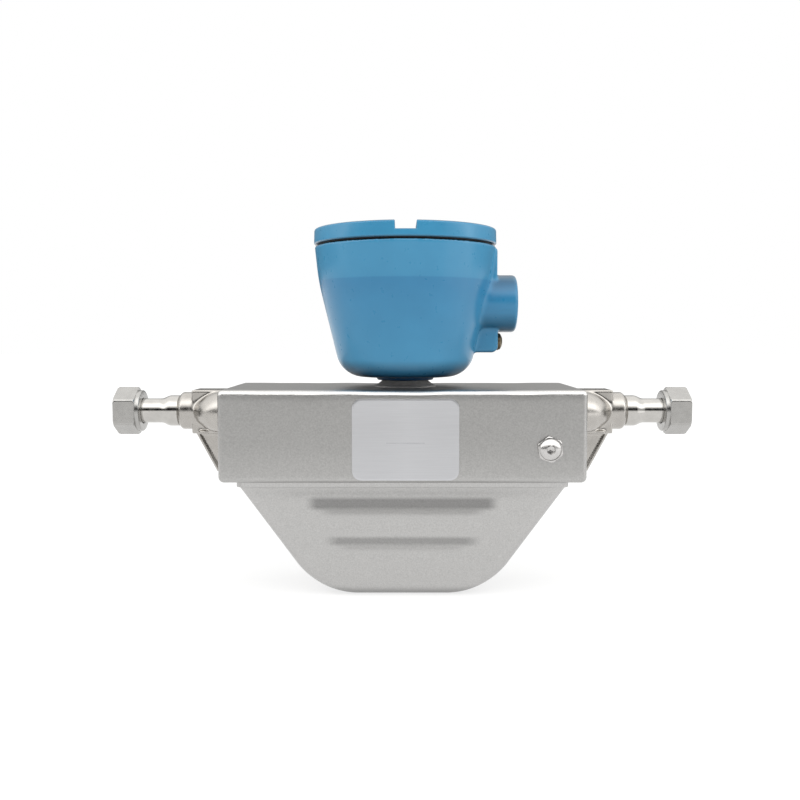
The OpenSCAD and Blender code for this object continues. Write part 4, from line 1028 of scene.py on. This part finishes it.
def shaded_by_height(tree, shader, shades):
    """Multiplies the colour by a shade for each height in millimetres."""
    brightest_shade = 1.25
    low, high = shades[0][0], shades[-1][0]
    split = tree.nodes.new("ShaderNodeSeparateXYZ")
    tree.links.new(tree.nodes.new("ShaderNodeTexCoord").outputs["Object"], split.inputs[0])
    height = tree.nodes.new("ShaderNodeMapRange")
    height.inputs["From Min"].default_value, height.inputs["From Max"].default_value = low * MM, high * MM
    tree.links.new(split.outputs["Z"], height.inputs["Value"])
    tone = tree.nodes.new("ShaderNodeValToRGB")
    while len(tone.color_ramp.elements) < len(shades):
        tone.color_ramp.elements.new(0.5)
    for stop, (z, shade) in zip(tone.color_ramp.elements, shades):
        stop.position = (z - low) / (high - low)
        stop.color = [c / brightest_shade for c in shade] + [1]
    tree.links.new(height.outputs["Result"], tone.inputs["Fac"])
    multiply_colour(tree, shader, tone.outputs["Color"], brightest_shade)


# painted shade on the socket, the foot of the bowl and just under the ridge; painted light low on the cone,
# on the band and on the cover
shaded_by_height(tree, shader, [(socket_z, (0.15, 0.2, 0.3)), (head_z + 0.6, (0.3, 0.38, 0.48)),
                                (head_z + 2.4, (0.8, 0.84, 0.88)), (head_z + 8, (1.12, 1.07, 1.04)),
                                (band_z - 14, (0.9, 0.95, 0.97)), (band_z - 0.4, (0.7, 0.84, 0.9)),
                                (band_z + 0.3, (1.1, 1.06, 1.03)), (seam_z, (1.15, 1.09, 1.05))])
# painted shade: faces of the enamel that look up or down are painted darker
facing = tree.nodes.new("ShaderNodeSeparateXYZ")
tree.links.new(tree.nodes.new("ShaderNodeNewGeometry").outputs["Normal"], facing.inputs[0])
tilt = tree.nodes.new("ShaderNodeMath")
tilt.operation = "ABSOLUTE"
tree.links.new(facing.outputs["Z"], tilt.inputs[0])
tone = tree.nodes.new("ShaderNodeValToRGB")
tree.links.new(tilt.outputs[0], tone.inputs["Fac"])
for stop, (at, shade) in zip(tone.color_ramp.elements, ((0.35, 1.0), (0.95, 0.35))):
    stop.position, stop.color = at, (shade, shade, shade, 1)
multiply_colour(tree, shader, tone.outputs["Color"])
points, faces = skin(housing, (-50.5, -52, socket_z - 1.5), (boss_face + 2, 52, seam_z + 1.8), 0.95)
make("head_housing", points, faces, head_paint, "meter", ["head_housing"], 60, 1.5e-4)


def sleeve(start, length, pitch, crest, root, outer, turns):
    """An internal thread with the metal just behind it, along x."""
    rings = [ring(start, outer, turns), ring(start, crest + 0.9, turns),
             ring(start + 0.8, crest + 0.1, turns)]
    rings += threaded(start + 0.8, length - 1, pitch, crest, root, turns)
    rings += [ring(start + length, crest, turns), ring(start + length, outer, turns)]
    return stacked(rings, closed=True)


# the threads that are cut in the mouth of the bowl and in the conduit boss
points, faces = sleeve(0, 13.5, 2.0, mouth_r, mouth_r + 0.8, mouth_thread_r + 0.3, 180)
points = [(head_x + y, z, seam_z - 0.5 - x) for x, y, z in points]
make("mouth_thread", points, faces, head_paint, "meter")
points, faces = sleeve(0, conduit_long, 1.5, conduit_r, conduit_r + 0.8, conduit_deep_r + 0.3, 120)
points = [(boss_face - 0.6 - x, y, boss_axis_z + z) for x, y, z in points]
cut_aluminium = plain_metal("cut_aluminium", (0.62, 0.62, 0.62), (0.55, 0.55, 0.55), (0.68, 0.68, 0.68), 0.32,
                            (900, 3), (1500, 2))
make("conduit_thread", points, faces, cut_aluminium, "meter")

# ---- Electronics -------------------------------------------------------------
# A potted module on three posts, with a green terminal strip on top for the wires,
# and zinc-plated screws; only seen with the cover off.
dress(("electronics_module",), moulded("potting_case", (0.018, 0.019, 0.021), 0.42, 500, 0.00004))
dress(("terminal_block",), moulded("terminal_resin", (0.03, 0.16, 0.07), 0.4))
zinc_plate = plain_metal("zinc_plate", (0.6, 0.61, 0.62), (0.54, 0.55, 0.56), (0.66, 0.67, 0.69), 0.3,
                         (1200, 3), (2200, 2), 0.00001)
dress(("module_screws",), zinc_plate)
screw_brass = plain_metal("screw_brass", (0.58, 0.46, 0.22), (0.52, 0.40, 0.18), (0.63, 0.51, 0.26), 0.28,
                          (900, 3), (2200, 2), 0.00001)
dress(("terminal_screws", "inner_ground_screw"), screw_brass)

# ---- Earth screw -------------------------------------------------------------
# Domed steel screw on a plain washer, both with a dark bronze finish, threaded into
# the lug under the conduit boss.
dark_bronze, tree, shader = finish("dark_bronze", (0.17, 0.14, 0.09), 1, 0.32)
vary(tree, speckle(tree, 500, 4), (0.09, 0.075, 0.05), (0.25, 0.21, 0.14), shader.inputs["Base Color"])
vary(tree, speckle(tree, 800, 3), 0.25, 0.42, shader.inputs["Roughness"])
roughen(tree, shader, speckle(tree, 1800, 2), 0.00003)
screw_low, screw_high = box_of("ground_screw")
screw_mid = (screw_low + screw_high) / 2
screw_r, screw_rise, screw_face = (screw_high[2] - screw_low[2]) / 2, 2.4, screw_high[0] - 2.4
dome = 1.6 * screw_r
profile = [(screw_low[0], 0), (screw_low[0], 2.1), (screw_low[0] + 0.5, 2.5, 0.1), (screw_face, 2.5, 0.1),
           (screw_face, screw_r, 0.25), (screw_face + 0.55, screw_r, 0.2)]
for r in np.linspace(screw_r - 0.1, 2.3, 10):
    profile.append((screw_face + screw_rise - dome + math.sqrt(dome**2 - r * r), r))
crown = screw_face + screw_rise - dome + math.sqrt(dome**2 - 2.1**2)
screw_turns = 96
points, faces = turned(eased(profile), (0, screw_mid[1], screw_mid[2]), "x", screw_turns)
rings = [ring(crown, 2.2, screw_turns), ring(crown - 0.1, key_hex(1.75), screw_turns),
         ring(crown - 1.3, key_hex(1.7), screw_turns), ring(crown - 1.5, 0.02, screw_turns)]
more, extra = stacked(rings, capped=True)
# the head's open rim is joined to the socket's, in place of the caps between them
extra = extra[:-2] + extra[-1:]
base = len(points)
faces = faces[:-1] + [[i + base for i in f] for f in extra]
for k in range(screw_turns):
    m = (k + 1) % screw_turns
    faces.append([base - screw_turns + k, base - screw_turns + m, base + m, base + k])
points += [(x, y + screw_mid[1], z + screw_mid[2]) for x, y, z in more]
make("ground_screw", points, faces, dark_bronze, "meter", ["ground_screw"], 35)
dress(("ground_washer",), dark_bronze)

# ---- Cover -------------------------------------------------------------------
# Cast and turned aluminium cover in the same enamel: a shallow cap with a slot for
# a bar across it, and a threaded skirt that screws into the housing.
lid_low, lid_high = box_of("head_cover")
skirt_z, cover_top = lid_low[2], lid_high[2]
cover_z, slot_z = skirt_z + 11, cover_top - 4.5
skirt_in, skirt_r, seal_in, seal_out, slot_half = 41.55, 45.1, 46.5, 48.7, 5.55
cover_turns = 192
cover_profile = [(cover_z + 2, 0), (cover_z + 2, skirt_in - 0.5), (cover_z - 2, skirt_in - 0.5),
                 (cover_z - 2, skirt_r - 1), (cover_z, skirt_r - 1), (cover_z, seal_in, 0.1),
                 (cover_z + 0.9, seal_in, 0.1), (cover_z + 0.9, seal_out, 0.1),
                 (cover_z, seal_out, 0.1), (cover_z, cover_reach - 0.6, 0.1),
                 (cover_z + 0.6, cover_reach, 0.5), (cover_top, cover_reach - 0.2, 1.3), (cover_top, 0)]
points, faces = turned(eased(cover_profile, 9), (head_x, 0, 0), "z", cover_turns)
cover = make("head_cover", points, faces, head_paint, "head_cover", ["head_cover"], 40)
cutter_mesh = bpy.data.meshes.new("slot")
corners = [(MM * (head_x + x * slot_half), MM * y * 60, MM * z)
           for z in (slot_z, 215) for y in (-1, 1) for x in (-1, 1)]
sides = [(0, 2, 3, 1), (4, 5, 7, 6), (0, 1, 5, 4), (2, 6, 7, 3), (0, 4, 6, 2), (1, 3, 7, 5)]
cutter_mesh.from_pydata(corners, [], sides)
cutter = bpy.data.objects.new("slot", cutter_mesh)
scene.collection.objects.link(cutter)
cut = cover.modifiers.new("slot", "BOOLEAN")
cut.operation, cut.object, cut.solver = "DIFFERENCE", cutter, "EXACT"
round_off = cover.modifiers.new("edges", "BEVEL")
round_off.width, round_off.segments, round_off.limit_method = 0.0005, 3, "ANGLE"
round_off.angle_limit = math.radians(60)
with bpy.context.temp_override(object=cover, active_object=cover, selected_objects=[cover]):
    bpy.ops.object.modifier_apply(modifier="slot")
    bpy.ops.object.modifier_apply(modifier="edges")
bpy.data.objects.remove(cutter)
cover.data.shade_smooth()
cover.data.set_sharp_from_angle(angle=math.radians(40))
skirt_long = cover_z - skirt_z
rings = [ring(0, skirt_in, cover_turns), ring(0, skirt_r - 1.1, cover_turns),
         ring(0.4, skirt_r - 0.8, cover_turns)]
rings += threaded(0.4, skirt_long - 1.4, 2.0, skirt_r - 0.8, skirt_r - 0.05, cover_turns)
rings += [ring(skirt_long, skirt_r - 0.8, cover_turns), ring(skirt_long, skirt_in, cover_turns)]
points, faces = stacked(rings, closed=True)
points = [(head_x + y, z, skirt_z + x) for x, y, z in points]
make("cover_skirt", points, faces, head_paint, "head_cover", crease=50)

# ---- Seals -------------------------------------------------------------------
# Round rubber cords: under the cover's rim, in the faces of the glands and in the neck.
rubber, tree, shader = finish("seal_rubber", (0.012, 0.012, 0.013), 0, 0.6)
vary(tree, speckle(tree, 900, 3), 0.5, 0.7, shader.inputs["Roughness"])
vary(tree, speckle(tree, 600, 3), (0.010, 0.010, 0.011), (0.016, 0.016, 0.017), shader.inputs["Base Color"])
dress(("cover_seal", "inlet_face_seal", "outlet_face_seal", "neck_seal"), rubber)
